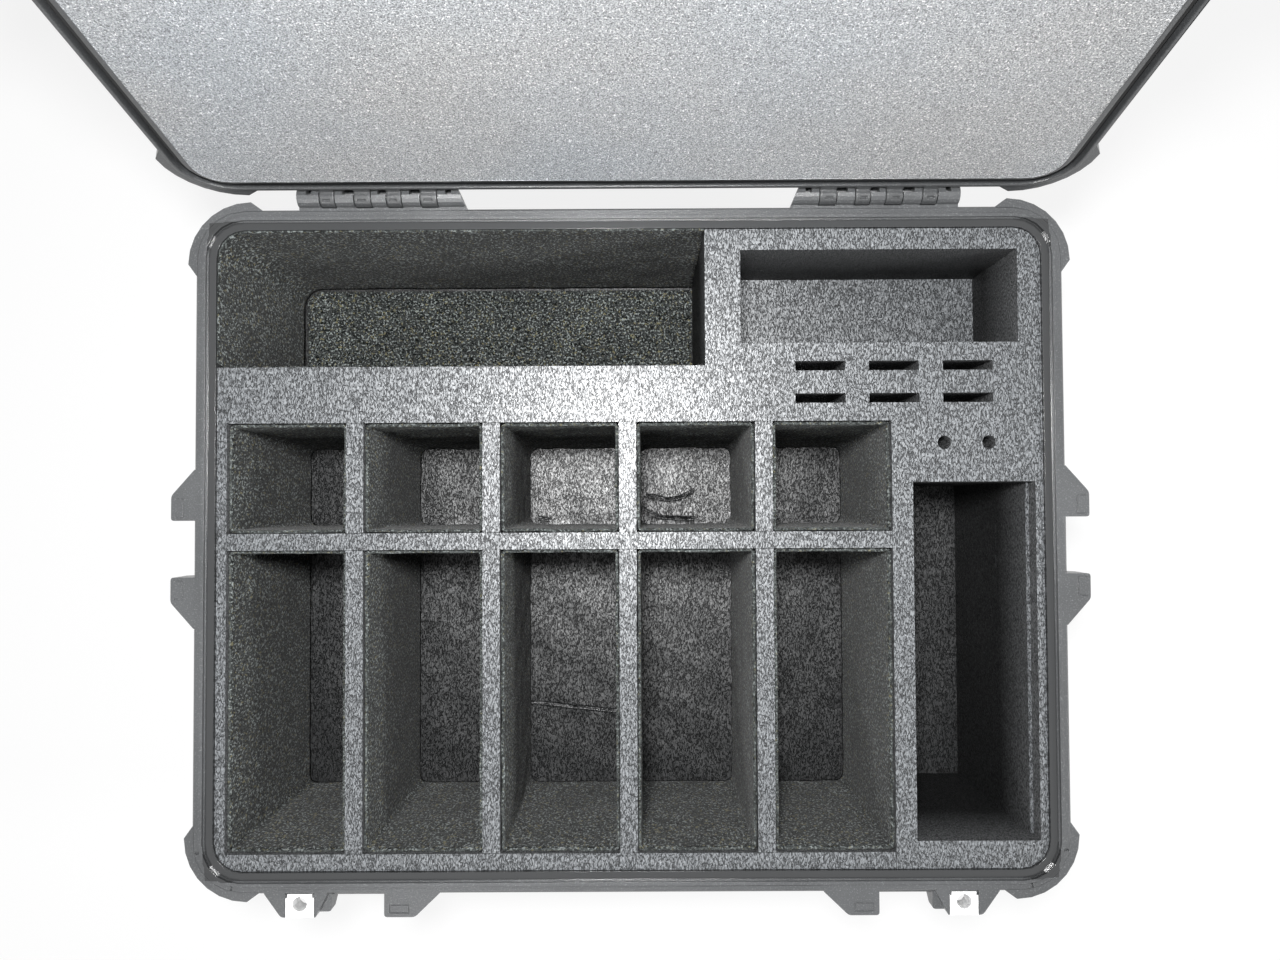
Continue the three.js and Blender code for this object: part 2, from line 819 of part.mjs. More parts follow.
function valveBoss() {
  const inner = -(halfDepth - insideInset);
  return rodAlongY(valveBossRadius, -halfDepth + valveBossReach, inner, valveOffset, valveHeight);
}

function baseShell() {
  const chamferTop = footPanelHeight + baseBottomChamfer;
  const outside = rimSkin([
    [wallInset + baseDraft + baseBottomChamfer, footPanelHeight],
    [wallInset + baseDraft, chamferTop],
    [wallInset, rimPlane - baseFlangeThickness],
    [baseSkirtThickness, rimPlane - baseFlangeThickness],
    [baseSkirtThickness, rimPlane - baseSkirtDrop],
    [0, rimPlane - baseSkirtDrop],
    [0, rimPlane - rimEdgeChamfer],
    [rimEdgeChamfer, rimPlane],
  ]);
  const panelInset = wallInset + baseDraft + baseBottomChamfer + footPanelInset;
  const panel = rimSkin([[panelInset, 0], [panelInset - footPanelHeight, footPanelHeight + fit]]);
  const ridge = rimSkin([[ridgeInset, rimPlane - ridgeHeight], [ridgeInset, rimPlane + ridgeHeight]]);
  const withinRidge = ridgeInset + ridgeWidth;
  const ridgeHollow = rimSkin([[withinRidge, rimPlane], [withinRidge, rimPlane + ridgeHeight + overrun]]);
  const grooves = [-1, 1].map((sign) => block(
    [-halfLength, sign * footGrooveOffset - footGrooveWidth / 2, -overrun],
    [halfLength, sign * footGrooveOffset + footGrooveWidth / 2, footGrooveDepth],
  ));
  const atRim = lift(rimPlane);
  const atHinge = new THREE.Matrix4().makeTranslation(0, hingeY, rimPlane);
  const lugs = latchStations.flatMap((station) => {
    const place = stationMatrix(station.side, station.along).premultiply(atRim);
    const pair = [-1, 1].map((side) => lugGeometry(station, side, -1));
    return [...pair, catchGeometry()].map((g) => g.applyMatrix4(place));
  });
  const lugCuts = latchStations.flatMap((station) => {
    const place = stationMatrix(station.side, station.along).premultiply(atRim);
    const marked = [-1, 1].filter((side) => side !== station.padlockSide);
    const cuts = marked.flatMap((side) => lugMarks(station, side));
    if (station.padlockSide) {
      cuts.push(...padlockCuts(station.padlockSide, -1), padlockSlope(station.padlockSide));
    }
    return cuts.map((g) => g.applyMatrix4(place));
  });
  let body = joined(
    solid(outside),
    panel,
    ...bumperGeometries(-1).map((g) => g.applyMatrix4(atRim)),
    ...lugs,
    ...knuckleGeometries(-1).map((g) => g.applyMatrix4(atHinge)),
    ...handleStations.flatMap(handleEars),
    ...baseRibs(),
    valveBoss(),
    ridge,
  );
  const grooveEnd = rimGrooveInset + rimGrooveWidth;
  const hingeCuts = [...saddleCuts(), ...hingeWindows(), ...hingeSlants(), ...hingeBores()];
  body = cutBy(
    body,
    ridgeHollow,
    rimChannel(rimGrooveInset, grooveEnd, rimPlane - rimGrooveDepth, rimPlane + overrun),
    baseInside(0),
    ...grooves,
    ...lugCuts,
    ...bumperMarks().map((g) => g.applyMatrix4(atRim)),
    ...hingeCuts.map((g) => g.applyMatrix4(atHinge)),
    ...handleStations.map((station) => handleBores(station, handlePinRadius + fit)),
    rodAlongY(valveStemRadius + fit, -halfDepth, insideFront + 2 * baseDraft, valveOffset, valveHeight),
  );
  return meshOf('base_shell', body, shellMaterial());
}

// Lid shell, modelled shut about the hinge's axis
function lidShell() {
  const flangeTop = rimSeam + lidFlangeThickness;
  const shoulder = lidHeight - lidShoulderHeight;
  const top = wallInset + lidDraft + lidShoulderWidth;
  const outside = rimSkin([
    [rimEdgeChamfer, rimSeam],
    [0, rimSeam + rimEdgeChamfer],
    [0, flangeTop],
    [wallInset, flangeTop + lidFlangeSlope],
    [wallInset + lidDraft, shoulder],
    [top, lidHeight],
  ]);
  const trayInset = wallInset + baseDraft + baseBottomChamfer + footPanelInset - stackTrayClearance;
  const tray = rimSkin([
    [trayInset, lidHeight - stackTrayDepth],
    [trayInset - stackTrayDepth, lidHeight + fit],
  ]);
  const ribs = lidRibShares.map((share) => {
    const middle = share * halfLength;
    const reach = halfDepth - trayInset - lidRibEndGap;
    const base = lidHeight - stackTrayDepth;
    return block(
      [middle - lidRibWidth / 2, -reach, base - fit],
      [middle + lidRibWidth / 2, reach, base + lidRibHeight],
    );
  });
  const outerGroove = ridgeInset + ridgeWidth / 2 - sealWidth / 2 - fit;
  const innerGroove = ridgeInset + ridgeWidth / 2 + sealWidth / 2 + fit;
  const grooveTop = ridgeHeight + sealClearance + sealHeight + fit;
  const groove = rimChannel(outerGroove, innerGroove, -overrun, grooveTop);
  const lugs = latchStations.flatMap((station) => {
    const place = stationMatrix(station.side, station.along);
    return [-1, 1].map((side) => lugGeometry(station, side, 1).applyMatrix4(place));
  });
  const pinEnd = gapHalf + armPinHold + fit;
  const lugCuts = latchStations.flatMap((station) => {
    const place = stationMatrix(station.side, station.along);
    const cuts = [rodAlongX(armPinRadius + fit, -pinEnd, pinEnd, -armPivotReach, armPivotHeight)];
    if (station.padlockSide) cuts.push(...padlockCuts(station.padlockSide, 1));
    return cuts.map((g) => g.applyMatrix4(place));
  });
  const atHinge = new THREE.Matrix4().makeTranslation(0, hingeY, 0);
  let body = joined(
    solid(outside),
    ...bumperGeometries(1),
    ...lugs,
    ...knuckleGeometries(1).map((g) => g.applyMatrix4(atHinge)),
  );
  body = cutBy(
    body,
    tray,
    lidInside(0),
    groove,
    ...lugCuts,
    ...[...hingeSlots(), ...hingeBores()].map((g) => g.applyMatrix4(atHinge)),
  );
  body = joined(body, ...ribs);
  return meshOf('lid_shell', body, shellMaterial());
}

function lidSeal() {
  const low = ridgeHeight + sealClearance;
  const middle = ridgeInset + ridgeWidth / 2;
  const halfWidth = sealWidth / 2;
  const corner = sealCornerShare * sealWidth;
  const section = [
    [-halfWidth + corner, 0],
    [-halfWidth, corner],
    [-halfWidth, sealHeight - corner],
    [-halfWidth + corner, sealHeight],
    [halfWidth - corner, sealHeight],
    [halfWidth, sealHeight - corner],
    [halfWidth, corner],
    [halfWidth - corner, 0],
  ];
  const rings = section.map(([across, up]) => ({ points: rimOutline(middle + across), height: low + up }));
  return meshOf('lid_seal', solid(hoop(rings)), sealMaterial());
}

function lidFoam() {
  const body = solid(lidInside(fit));
  const top = lidHeight;
  const kept = block([-halfLength, -halfDepth, -lidFoamProud], [halfLength, halfDepth, top]);
  return meshOf('lid_foam', body.intersect(solid(kept)), lidFoamMaterial());
}

// A steel plate with a sleeve that lines the padlock's hole
function padlockPlate(name, station, direction) {
  const side = station.padlockSide;
  const middle = plateMiddle(side);
  const half = padlockPlateWidth / 2;
  const top = direction > 0 ? rimSeam + padlockTabThickness : 0;
  const neck = half - padlockPlateNotch;
  const shoulder = -fit - padlockNotchLength;
  const points = outline([
    [middle - neck, -fit],
    [middle - neck, shoulder],
    [middle - half, shoulder],
    [middle - half, -lugReach],
    [middle + half, -lugReach],
    [middle + half, shoulder],
    [middle + neck, shoulder],
    [middle + neck, -fit],
  ]);
  const bottom = top - padlockTabThickness;
  const outer = padlockHoleRadius + padlockSleeveWall;
  const sleeve = rodAlongZ(outer, bottom, top, middle, -padlockHoleReach, boreSides);
  const plate = joined(solid(prism(points, top - padlockPlateThickness, top)), sleeve);
  const ends = [bottom - overrun, top + overrun];
  const hole = rodAlongZ(padlockHoleRadius, ...ends, middle, -padlockHoleReach, boreSides);
  return meshOf(name, cutBy(plate, hole), steelMaterial());
}

// Latch arm and lever, each modelled shut about its own pivot
function latchArm(name) {
  const half = gapHalf - latchSideGap;
  const outer = armPivotReach - armOuterReach;
  const inner = outer + armPlateThickness;
  const bottom = -armPlateBottom - armPivotHeight;
  const plate = outline([
    [outer, bottom],
    [outer, armHeel / 2],
    [outer + armPlateThickness / 2, armHeel],
    [inner + armPlateThickness / 2, armHeel],
    [0, armBossRadius],
    [0, -armBossRadius],
    [inner, -armHeel],
    [inner, bottom],
  ]);
  const cheekInner = armPivotReach - catchReach - latchSideGap;
  const cheek = outline([
    [inner - fit, armCheekTop],
    [0, armCheekTop],
    [cheekInner, -armPivotHeight],
    [cheekInner, -armCheekBottom - armPivotHeight + leverBossRadius],
    [cheekInner - leverBossRadius, -armCheekBottom - armPivotHeight],
    [outer + armPlateThickness, -armCheekBottom - armPivotHeight],
    [outer, bottom],
    [inner - fit, bottom],
  ]);
  let body = joined(
    solid(prismAlongX(plate, -half, half)),
    rodAlongX(armBossRadius, -half, half, 0, 0),
    prismAlongX(cheek, -half, armCheekThickness - half),
    prismAlongX(cheek, half - armCheekThickness, half),
  );
  body = cutBy(
    body,
    rodAlongX(armPinRadius + fit, -half - overrun, half + overrun, 0, 0),
    rodAlongX(leverPinRadius + fit, -half - overrun, half + overrun, leverOffsetY(), leverOffsetZ()),
  );
  return meshOf(name, body, latchMaterial());
}

// The lever's pivot, as seen from the arm's pivot.
function leverOffsetY() {
  return armPivotReach - leverPivotReach;
}

function leverOffsetZ() {
  return -leverPivotDrop - armPivotHeight;
}

function latchLever(name) {
  const half = gapHalf - latchSideGap;
  const innerHalf = half - armCheekThickness - latchSideGap;
  const outer = leverPivotReach - armOuterReach;
  const inner = outer + armPlateThickness;
  const top = leverPivotDrop - leverPlateTop;
  const bottom = leverPivotDrop - leverBottom;
  const shoulder = leverPivotDrop - leverShoulder;
  const noseTop = leverPivotDrop - catchBottom - fit;
  const noseTip = leverPivotReach - leverNoseReach;
  const upper = outline([
    [outer, shoulder],
    [outer, top],
    [inner, top],
    [0, leverBossRadius],
    [leverBossRadius, noseTop],
    [noseTip, noseTop],
    [noseTip, noseTop - leverNoseThickness / 2],
    [noseTip - leverNoseThickness / 2, noseTop - leverNoseThickness],
    [0, -leverBossRadius],
    [inner, shoulder],
  ]);
  const lower = outline([
    [outer, bottom + leverLipHeight],
    [outer, shoulder + fit],
    [inner, shoulder + fit],
    [inner, bottom + leverLipHeight],
    [inner - leverLipReach, bottom],
    [outer - leverLipReach, bottom],
  ]);
  let body = joined(
    solid(prismAlongX(upper, -innerHalf, innerHalf)),
    rodAlongX(leverBossRadius, -innerHalf, innerHalf, 0, 0),
    prismAlongX(lower, -half, half),
  );
  body = cutBy(body, rodAlongX(leverPinRadius + fit, -half, half, 0, 0));
  return meshOf(name, body, latchMaterial());
}

function pin(name, radius, reach) {
  return meshOf(name, solid(rodAlongX(radius, -reach, reach, 0, 0)), steelMaterial());
}

function latchGroup(station) {
  const name = `latch_${station.name}`;
  const mount = new THREE.Group();
  mount.applyMatrix4(stationMatrix(station.side, station.along));
  const armPin = pin(`${name}_arm_pin`, armPinRadius, gapHalf + armPinHold);
  armPin.position.set(0, -armPivotReach, armPivotHeight);
  const arm = new THREE.Group();
  arm.name = `pivot_${name}_arm`;
  arm.position.set(0, -armPivotReach, armPivotHeight);
  arm.rotation.x = -THREE.MathUtils.degToRad(armOpening);
  const lever = new THREE.Group();
  lever.name = `pivot_${name}_lever`;
  lever.position.set(0, leverOffsetY(), leverOffsetZ());
  lever.rotation.x = -THREE.MathUtils.degToRad(leverOpening);
  lever.add(latchLever(`${name}_lever`));
  const leverPin = pin(`${name}_lever_pin`, leverPinRadius, gapHalf - latchSideGap);
  leverPin.position.copy(lever.position);
  arm.add(latchArm(`${name}_arm`), leverPin, lever);
  mount.add(armPin, arm);
  return mount;
}

// Carrying handle, modelled hanging about its pivot
function handleGrip(name) {
  const section = [];
  for (let i = 0; i < handleGripSides; i++) {
    const angle = (i / handleGripSides) * 2 * Math.PI;
    const y = handleGripDepth / 2 * Math.cos(angle);
    const z = handleGripHeight / 2 * Math.sin(angle) - handleDrop;
    section.push([y, z]);
  }
  const arms = [-1, 1].flatMap((sign) => {
    const ends = [sign * handleHalfSpan, sign * (handleHalfSpan - handleArmWidth)];
    const low = Math.min(...ends);
    const high = Math.max(...ends);
    return [
      rodAlongX(handleEyeRadius, low, high, 0, 0),
      block([low, -handleEyeRadius, -handleDrop], [high, handleEyeRadius, 0]),
    ];
  });
  let body = joined(solid(prismAlongX(outline(section), -handleHalfSpan, handleHalfSpan)), ...arms);
  const reach = handleHalfSpan + overrun;
  body = cutBy(body, rodAlongX(handlePinRadius + fit, -reach, reach, 0, 0));
  return meshOf(name, body, gripMaterial());
}

function handleGroup(station) {
  const mount = new THREE.Group();
  mount.applyMatrix4(stationMatrix(station.side, station.along));
  const pivot = new THREE.Group();
  pivot.name = `pivot_handle_${station.name}`;
  pivot.position.set(0, -handlePivotReach, rimPlane - handlePivotDrop);
  pivot.add(handleGrip(`handle_${station.name}`));
  mount.add(pivot);
  const inner = handleHalfSpan - handleArmWidth;
  const outer = earOuter - handlePinEnd;
  for (const [sign, label] of [[-1, 'a'], [1, 'b']]) {
    const handlePin = pin(`handle_${station.name}_pin_${label}`, handlePinRadius, (outer - inner) / 2);
    handlePin.position.copy(pivot.position);
    handlePin.position.x = sign * (outer + inner) / 2;
    mount.add(handlePin);
  }
  return mount;
}

// Pressure valve
function valveParts() {
  const seat = -halfDepth + valveBossReach;
  const capStart = seat - fit - valveSealThickness - fit;
  const nutStart = insideFront + baseDraft * (rimPlane - valveHeight) / (rimPlane - insideFloor) + fit;
  const nutEnd = nutStart + valveNutThickness;
  const at = [valveOffset, valveHeight];
  const cap = joined(
    solid(rodAlongY(valveCapRadius, capStart - valveCapHeight + valveCapStep, capStart, ...at)),
    rodAlongY(valveCapRadius - valveCapStep, capStart - valveCapHeight, capStart, ...at),
    rodAlongY(valveStemRadius, capStart - valveCapStep, nutEnd, ...at),
  );
  const ventStart = capStart - valveCapHeight - overrun;
  const vent = rodAlongY(valveVentRadius, ventStart, nutEnd + overrun, ...at, boreSides);
  const ringInner = valveStemRadius + fit;
  const ringStart = seat - fit - valveSealThickness;
  const ring = solid(rodAlongY(ringInner + valveSealWidth, ringStart, seat - fit, ...at));
  const ringHole = rodAlongY(ringInner, ringStart - overrun, seat + overrun, ...at);
  const nut = solid(rodAlongY(valveNutRadius, nutStart, nutEnd, ...at, nutSides));
  const nutHole = rodAlongY(valveStemRadius + fit, nutStart - overrun, nutEnd + overrun, ...at);
  return [
    meshOf('valve_body', cap.subtract(solid(vent)), latchMaterial()),
    meshOf('valve_seal', ring.subtract(solid(ringHole)), sealMaterial()),
    meshOf('valve_nut', nut.subtract(solid(nutHole)), steelMaterial()),
  ];
}

// Foam insert. Each piece is cut from the shell's inside, so it follows its slope.
function slab(low, high) {
  const kept = block([-halfLength, -halfDepth, low], [halfLength, halfDepth, high]);
  return solid(baseInside(fit)).intersect(solid(kept));
}

function foamPiece(pairs, low, high) {
  return slab(low, high).intersect(solid(prism(outline(pairs), low - overrun, high + overrun)));
}

const far = rimLength;

function foamBlockOutline() {
  return [
    [gridRight, -far],
    [far, -far],
    [far, far],
    [largePocketRight, far],
    [largePocketRight, bandBack],
    [-far, bandBack],
    [-far, bandFront],
    [gridRight, bandFront],
  ];
}

const tallPocketCut = (low, high) => block([tallLeft, tallFront, low], [tallRight, tallBack, high]);
const shallowPocketCut = (low, high) => block(
  [shallowLeft, shallowFrontY, low],
  [shallowRight, shallowBackY, high],
);

function slotCuts(low, high) {
  const cuts = [];
  for (let row = 0; row < slotRows; row++) {
    for (let column = 0; column < slotColumns; column++) {
      const x = slotFirstX + column * slotColumnPitch;
      const y = slotFirstY + row * slotRowPitch;
      cuts.push(block(
        [x - slotLength / 2, y - slotWidth / 2, low],
        [x + slotLength / 2, y + slotWidth / 2, high],
      ));
    }
  }
  return cuts;
}

function foamParts() {
  const layerTop = foamLayerSeam - fit;
  const above = foamTop + overrun;
  const below = foamBottom - overrun;
  const lower = cutBy(
    foamPiece(foamBlockOutline(), foamBottom, layerTop),
    tallPocketCut(below, above),
    shallowPocketCut(shallowFloor, above),
  );
  const holes = [0, 1].map((i) => rodAlongZ(holeRadius, below, above, holeFirstX + i * holePitch, holeY));
  const ledge = block(
    [tallRight - overrun, tallFront, foamTop - tallLedgeDrop],
    [tallRight + tallLedgeWidth, tallBack, above],
  );
  const upper = cutBy(
    foamPiece(foamBlockOutline(), foamLayerSeam, foamTop),
    tallPocketCut(below, above),
    ledge,
    shallowPocketCut(below, above),
    ...slotCuts(below, above),
    ...holes,
  );
  const border = foamPiece([
    [-far, -far],
    [gridRight - fit, -far],
    [gridRight - fit, gridFront],
    [gridLeft, gridFront],
    [gridLeft, bandFront - fit],
    [-far, bandFront - fit],
  ], foamBottom, foamTop);
  const reliefEnds = [insideFront - overrun, gridFront + overrun];
  const nutRelief = rodAlongY(valveNutRadius + fit, ...reliefEnds, valveOffset, valveHeight);
  return [
    meshOf('floor_pad', slab(padBottom, padTop), padMaterial()),
    meshOf('foam_lower_layer', lower, foamMaterial()),
    meshOf('foam_upper_layer', upper, foamMaterial()),
    meshOf('foam_border_strip', cutBy(border, nutRelief), foamMaterial()),
  ];
}

// Dividers, slotted into each other half way up
function dividerParts() {
  const half = (foamBottom + foamTop) / 2;
  const longs = [];
  const crossCuts = [];
  for (let i = 1; i < gridColumns; i++) {
    const left = gridLeft + i * gridPitch - dividerThickness;
    const right = left + dividerThickness;
    const board = solid(block([left, gridFront + fit, foamBottom], [right, bandFront - fit, foamTop]));
    const notch = block(
      [left - overrun, crossFront - fit, half],
      [right + overrun, crossBack + fit, foamTop + overrun],
    );
    longs.push(meshOf(`divider_long_${i}`, cutBy(board, notch), foamMaterial()));
    crossCuts.push(block(
      [left - fit, crossFront - overrun, foamBottom - overrun],
      [right + fit, crossBack + overrun, half + fit],
    ));
  }
  const cross = solid(block(
    [gridLeft + fit, crossFront, foamBottom],
    [gridRight - fit, crossBack, foamTop],
  ));
  return [...longs, meshOf('divider_cross', cutBy(cross, ...crossCuts), foamMaterial())];
}

// Felt linings
function pocketFelt(name, left, front, length) {
  const outerLow = [left + fit, front + fit];
  const outerHigh = [left + pocketWidth - fit, front + length - fit];
  const top = foamTop - feltTopGap;
  const outer = block([...outerLow, foamBottom], [...outerHigh, top]);
  const inner = block(
    [...outerLow.map((value) => value + feltThickness), foamBottom - overrun],
    [...outerHigh.map((value) => value - feltThickness), top + overrun],
  );
  return meshOf(name, cutBy(solid(outer), inner), feltMaterial());
}

function largePocketFelt() {
  const top = rimPlane - largeFeltTopDrop;
  const right = largePocketRight - fit;
  const front = bandBack + fit;
  const kept = block([-far, front, foamBottom], [right, far, top]);
  const outer = solid(baseInside(fit)).intersect(solid(kept));
  const hollowFloor = foamBottom + feltThickness;
  const hollow = solid(baseInside(fit + feltThickness)).intersect(solid(block(
    [-far, front + feltThickness, hollowFloor],
    [right + overrun, far, rimPlane + overrun],
  )));
  const frontTop = block(
    [-far, front - overrun, foamTop - feltTopGap],
    [right + overrun, front + feltThickness, top + overrun],
  );
  return meshOf('felt_large_pocket', cutBy(outer.subtract(hollow), frontTop), feltMaterial());
}

function feltParts() {
  const parts = [largePocketFelt()];
  for (let i = 0; i < gridColumns; i++) {
    const left = gridLeft + i * gridPitch;
    parts.push(pocketFelt(`felt_back_pocket_${i + 1}`, left, crossBack, backPocketLength));
    parts.push(pocketFelt(`felt_front_pocket_${i + 1}`, left, gridFront, frontPocketLength));
  }
  return parts;
}

// The case, with its lid turned back about the hinges
const carryingCase = new THREE.Group();
carryingCase.add(baseShell());

const lidPivot = new THREE.Group();
lidPivot.name = 'pivot_lid';
lidPivot.position.set(0, hingeY, rimPlane);
lidPivot.rotation.x = -THREE.MathUtils.degToRad(lidOpening);
const lidFrame = new THREE.Group();
lidFrame.position.set(0, -hingeY, 0);
lidFrame.add(lidShell(), lidSeal(), lidFoam(), ...latchStations.map(latchGroup));
lidPivot.add(lidFrame);
carryingCase.add(lidPivot);

for (const [mirror, label] of [[-1, 'left'], [1, 'right']]) {
  const reach = (hingeLength - hingePinEndGap - hingeInnerSlant) / 2;
  const hingePin = pin(`hinge_pin_${label}`, hingePinRadius, reach);
  hingePin.position.set(mirror * (hingeInnerEnd + hingeInnerSlant + reach), hingeY, rimPlane);
  carryingCase.add(hingePin);
}

for (const station of latchStations.filter(({ padlockSide }) => padlockSide)) {
  const label = station.padlockSide < 0 ? 'left' : 'right';
  const basePlate = padlockPlate(`padlock_plate_base_${label}`, station, -1);
  basePlate.applyMatrix4(stationMatrix(station.side, station.along).premultiply(lift(rimPlane)));
  const lidPlate = padlockPlate(`padlock_plate_lid_${label}`, station, 1);
  lidPlate.applyMatrix4(stationMatrix(station.side, station.along));
  carryingCase.add(basePlate);
  lidFrame.add(lidPlate);
}

carryingCase.add(
  ...handleStations.map(handleGroup),
  ...valveParts(),
  ...foamParts(),
  ...dividerParts(),
  ...feltParts(),
);

export default carryingCase;
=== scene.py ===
# The looks of a hard carrying case that stands open, with foam, felt, steel and moulded plastic.
# Everything is in metres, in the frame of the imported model, unless a name ends in PX, MM or DEG.

import math

import bmesh
import bpy
import numpy as np
from mathutils import Matrix, Vector, noise


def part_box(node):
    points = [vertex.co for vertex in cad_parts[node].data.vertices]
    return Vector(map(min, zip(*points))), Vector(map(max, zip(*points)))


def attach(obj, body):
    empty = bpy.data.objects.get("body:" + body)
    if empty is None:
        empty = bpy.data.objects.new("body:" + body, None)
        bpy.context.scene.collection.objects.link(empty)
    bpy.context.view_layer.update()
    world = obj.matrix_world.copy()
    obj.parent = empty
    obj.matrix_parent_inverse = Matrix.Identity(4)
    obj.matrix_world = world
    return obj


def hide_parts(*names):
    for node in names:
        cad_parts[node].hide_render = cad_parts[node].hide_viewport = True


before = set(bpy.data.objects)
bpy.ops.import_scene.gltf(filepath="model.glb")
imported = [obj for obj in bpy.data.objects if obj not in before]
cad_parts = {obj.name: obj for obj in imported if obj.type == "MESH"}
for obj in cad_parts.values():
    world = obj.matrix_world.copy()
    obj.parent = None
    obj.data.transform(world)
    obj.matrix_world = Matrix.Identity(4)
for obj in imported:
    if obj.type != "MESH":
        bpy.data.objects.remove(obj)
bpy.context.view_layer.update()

# Camera of the photograph
PICTURE_WIDTH_PX = 1280
FOCAL_LENGTH_PX = 934.6
SENSOR_WIDTH_MM = 36
CAMERA_PLACE = (0.00769, 0.02783, 0.78236)
CAMERA_TURNS_DEG = (1.505, 0.087, -0.286)
CAMERA_NEAR = 0.01
CAMERA_FAR = 50

# Lamps: place, the point they face, diameter and watts
LAMPS = {
    "key": ((-0.03, 0.14, 0.95), (-0.03, 0.06, 0.1), 0.13, 11.5),
    "side": ((1.6, -0.35, 1.05), (0, 0, 0.15), 0.4, 14.0),
    "front": ((-0.5, -1.55, 1.6), (0, 0, 0.2), 0.6, 13.0),
    "back": ((-0.3, 2.2, 1.5), (0, 0.2, 0.3), 1.4, 1.5),
}

# Room and floor
ROOM_COLOUR = (0.97, 0.98, 1.0, 1)
ROOM_STRENGTH = 0.09
FLOOR_HALF = 3.0
FLOOR_STEP = 0.5
FLOOR_DROP = 0.0002
FLOOR_TONE = 0.86
FLOOR_WHITE_SHARE = 0.85

# Names of the pieces
LATCHES = ("front_left", "front_right", "side_left", "side_right")
HANDLES = ("front", "left", "right")
SIDES = ("left", "right")
FOAM_BLOCKS = ["foam_upper_layer", "foam_lower_layer", "foam_border_strip"]
DIVIDERS = [f"divider_long_{index}" for index in range(1, 5)] + ["divider_cross"]
POCKET_COUNT = 5

# Places worked out from the frame. The lugs at the rim's sides stand out past it by their reach.
LUG_REACH = 0.0152
SHELL_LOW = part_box("base_shell")[0]
RIM_HALF = (-SHELL_LOW.x - LUG_REACH, -SHELL_LOW.y - LUG_REACH)
FELT_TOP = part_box("felt_back_pocket_1")[1].z
FOAM_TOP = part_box("foam_upper_layer")[1].z

# Rounded edges of the rigid pieces, and the angles that tell flat, smooth and sharp apart
SHELL_BEVEL = 0.0006
LATCH_BEVEL = 0.0004
GRIP_BEVEL = 0.0012
PLATE_BEVEL = 0.0002
NUT_BEVEL = 0.0003
FLAT_DEG = 0.5
SHARP_DEG = 30
SHARP_FOAM_DEG = 35
BEVEL_DEG = 35

# Foam: how far its faces grow, how finely they are cut up, and how uneven they are at each length of wave
FOAM_GROWTH = 0.00012
FOAM_STEP = 0.005
LID_FOAM_STEP = 0.008
UNEVEN_LENGTHS = (0.011, 0.036, 0.12)
BLOCK_UNEVEN = (0.00003, 0.00003, 0.00002)
PAD_UNEVEN = (0.00008, 0.0002, 0.0002)
LID_FOAM_UNEVEN = (0.00005, 0.0001, 0.0002)
CUT_NEARNESS = 1e-6

# Cracks in the floor pad's skin, and the stretches round them that need a finer mesh:
# the axis, its start and end, and the step there
CRACK_DEPTH = 0.0011
CRACK_WIDTH = 0.0005
CRACK_LIP = 0.0005
PAD_CRACKS = (
    ((0.013, 0.0357), (0.0213, 0.034), (0.0287, 0.0323), (0.0394, 0.0339), (0.0501, 0.0396)),
    ((0.0064, 0.025), (0.0146, 0.0217), (0.0212, 0.0183), (0.0286, 0.0175), (0.0499, 0.0166)),
    ((-0.0775, 0.018), (-0.0693, 0.0163)),
    ((-0.0762, -0.1333), (-0.0615, -0.135), (-0.0508, -0.1366), (-0.0369, -0.1375), (-0.0149, -0.14)),
)
PAD_FINER = (
    (0, 0.004, 0.052, 0.002),
    (0, -0.079, -0.013, 0.0025),
    (1, 0.0145, 0.0415, 0.0006),
    (1, -0.1425, -0.131, 0.0006),
)

# Felt: its thickness, mesh step and corners
FELT_THICKNESS = 0.0018
FELT_STEP = 0.0035
FELT_CORNER = 0.003
FELT_FOOT_CORNER = 0.008
FELT_BACK_CORNER = 0.0186
FELT_FLOOR_CORNER = 0.012
FELT_BODY_GAP = 0.0002
FELT_TAPER = 0.0035
FELT_RISE = 0.006
FELT_NAP = (0.00012, 0.00018)
FELT_NAP_LENGTHS = (0.008, 0.03)

# How the felt of the grid's pockets bulges, frays and leans. Noise scales are features for each metre.
FELT_FRAY = 0.0006
FELT_FRAY_SCALE = 160
FELT_BULGE = 0.0009
FELT_BULGE_SPAN = 1.3
FELT_BULGE_STEADY = 0.6
FELT_LEAN = 0.0062
FELT_LEAN_START = 0.3
FELT_LEAN_UNEVEN = 0.0012
FELT_LEAN_SCALE = 110
POCKET_SCALE = 9
WALL_SCALE = 22


# Node materials

def new_material(name):
    """An empty node material with its shader, and a function that adds a node with its input values."""
    material = bpy.data.materials.new(name)
    material.use_nodes = True
    tree = material.node_tree
    tree.nodes.clear()
    output = tree.nodes.new("ShaderNodeOutputMaterial")
    shader = tree.nodes.new("ShaderNodeBsdfPrincipled")
    tree.links.new(shader.outputs["BSDF"], output.inputs["Surface"])

    def add(kind, settings=None, **inputs):
        made = tree.nodes.new(kind)
        for key, value in (settings or {}).items():
            setattr(made, key, value)
        for key, value in inputs.items():
            socket = made.inputs[int(key[1:]) if key.startswith("i") else key.replace("_", " ")]
            if isinstance(value, bpy.types.NodeSocket):
                tree.links.new(value, socket)
            else:
                socket.default_value = value
        return made

    return material, tree, shader, add


def link(tree, value, shader, name):
    """Feeds a node's output to one of the shader's inputs."""
    tree.links.new(value, shader.inputs[name])


def fixed(shader, **values):
    """Values that are the same all over the surface, on the shader's own inputs."""
    for name, value in values.items():
        shader.inputs[name.replace("_", " ")].default_value = value


def own_place(add):
    """The piece's own coordinates, in metres."""
    return add("ShaderNodeTexCoord").outputs["Object"]


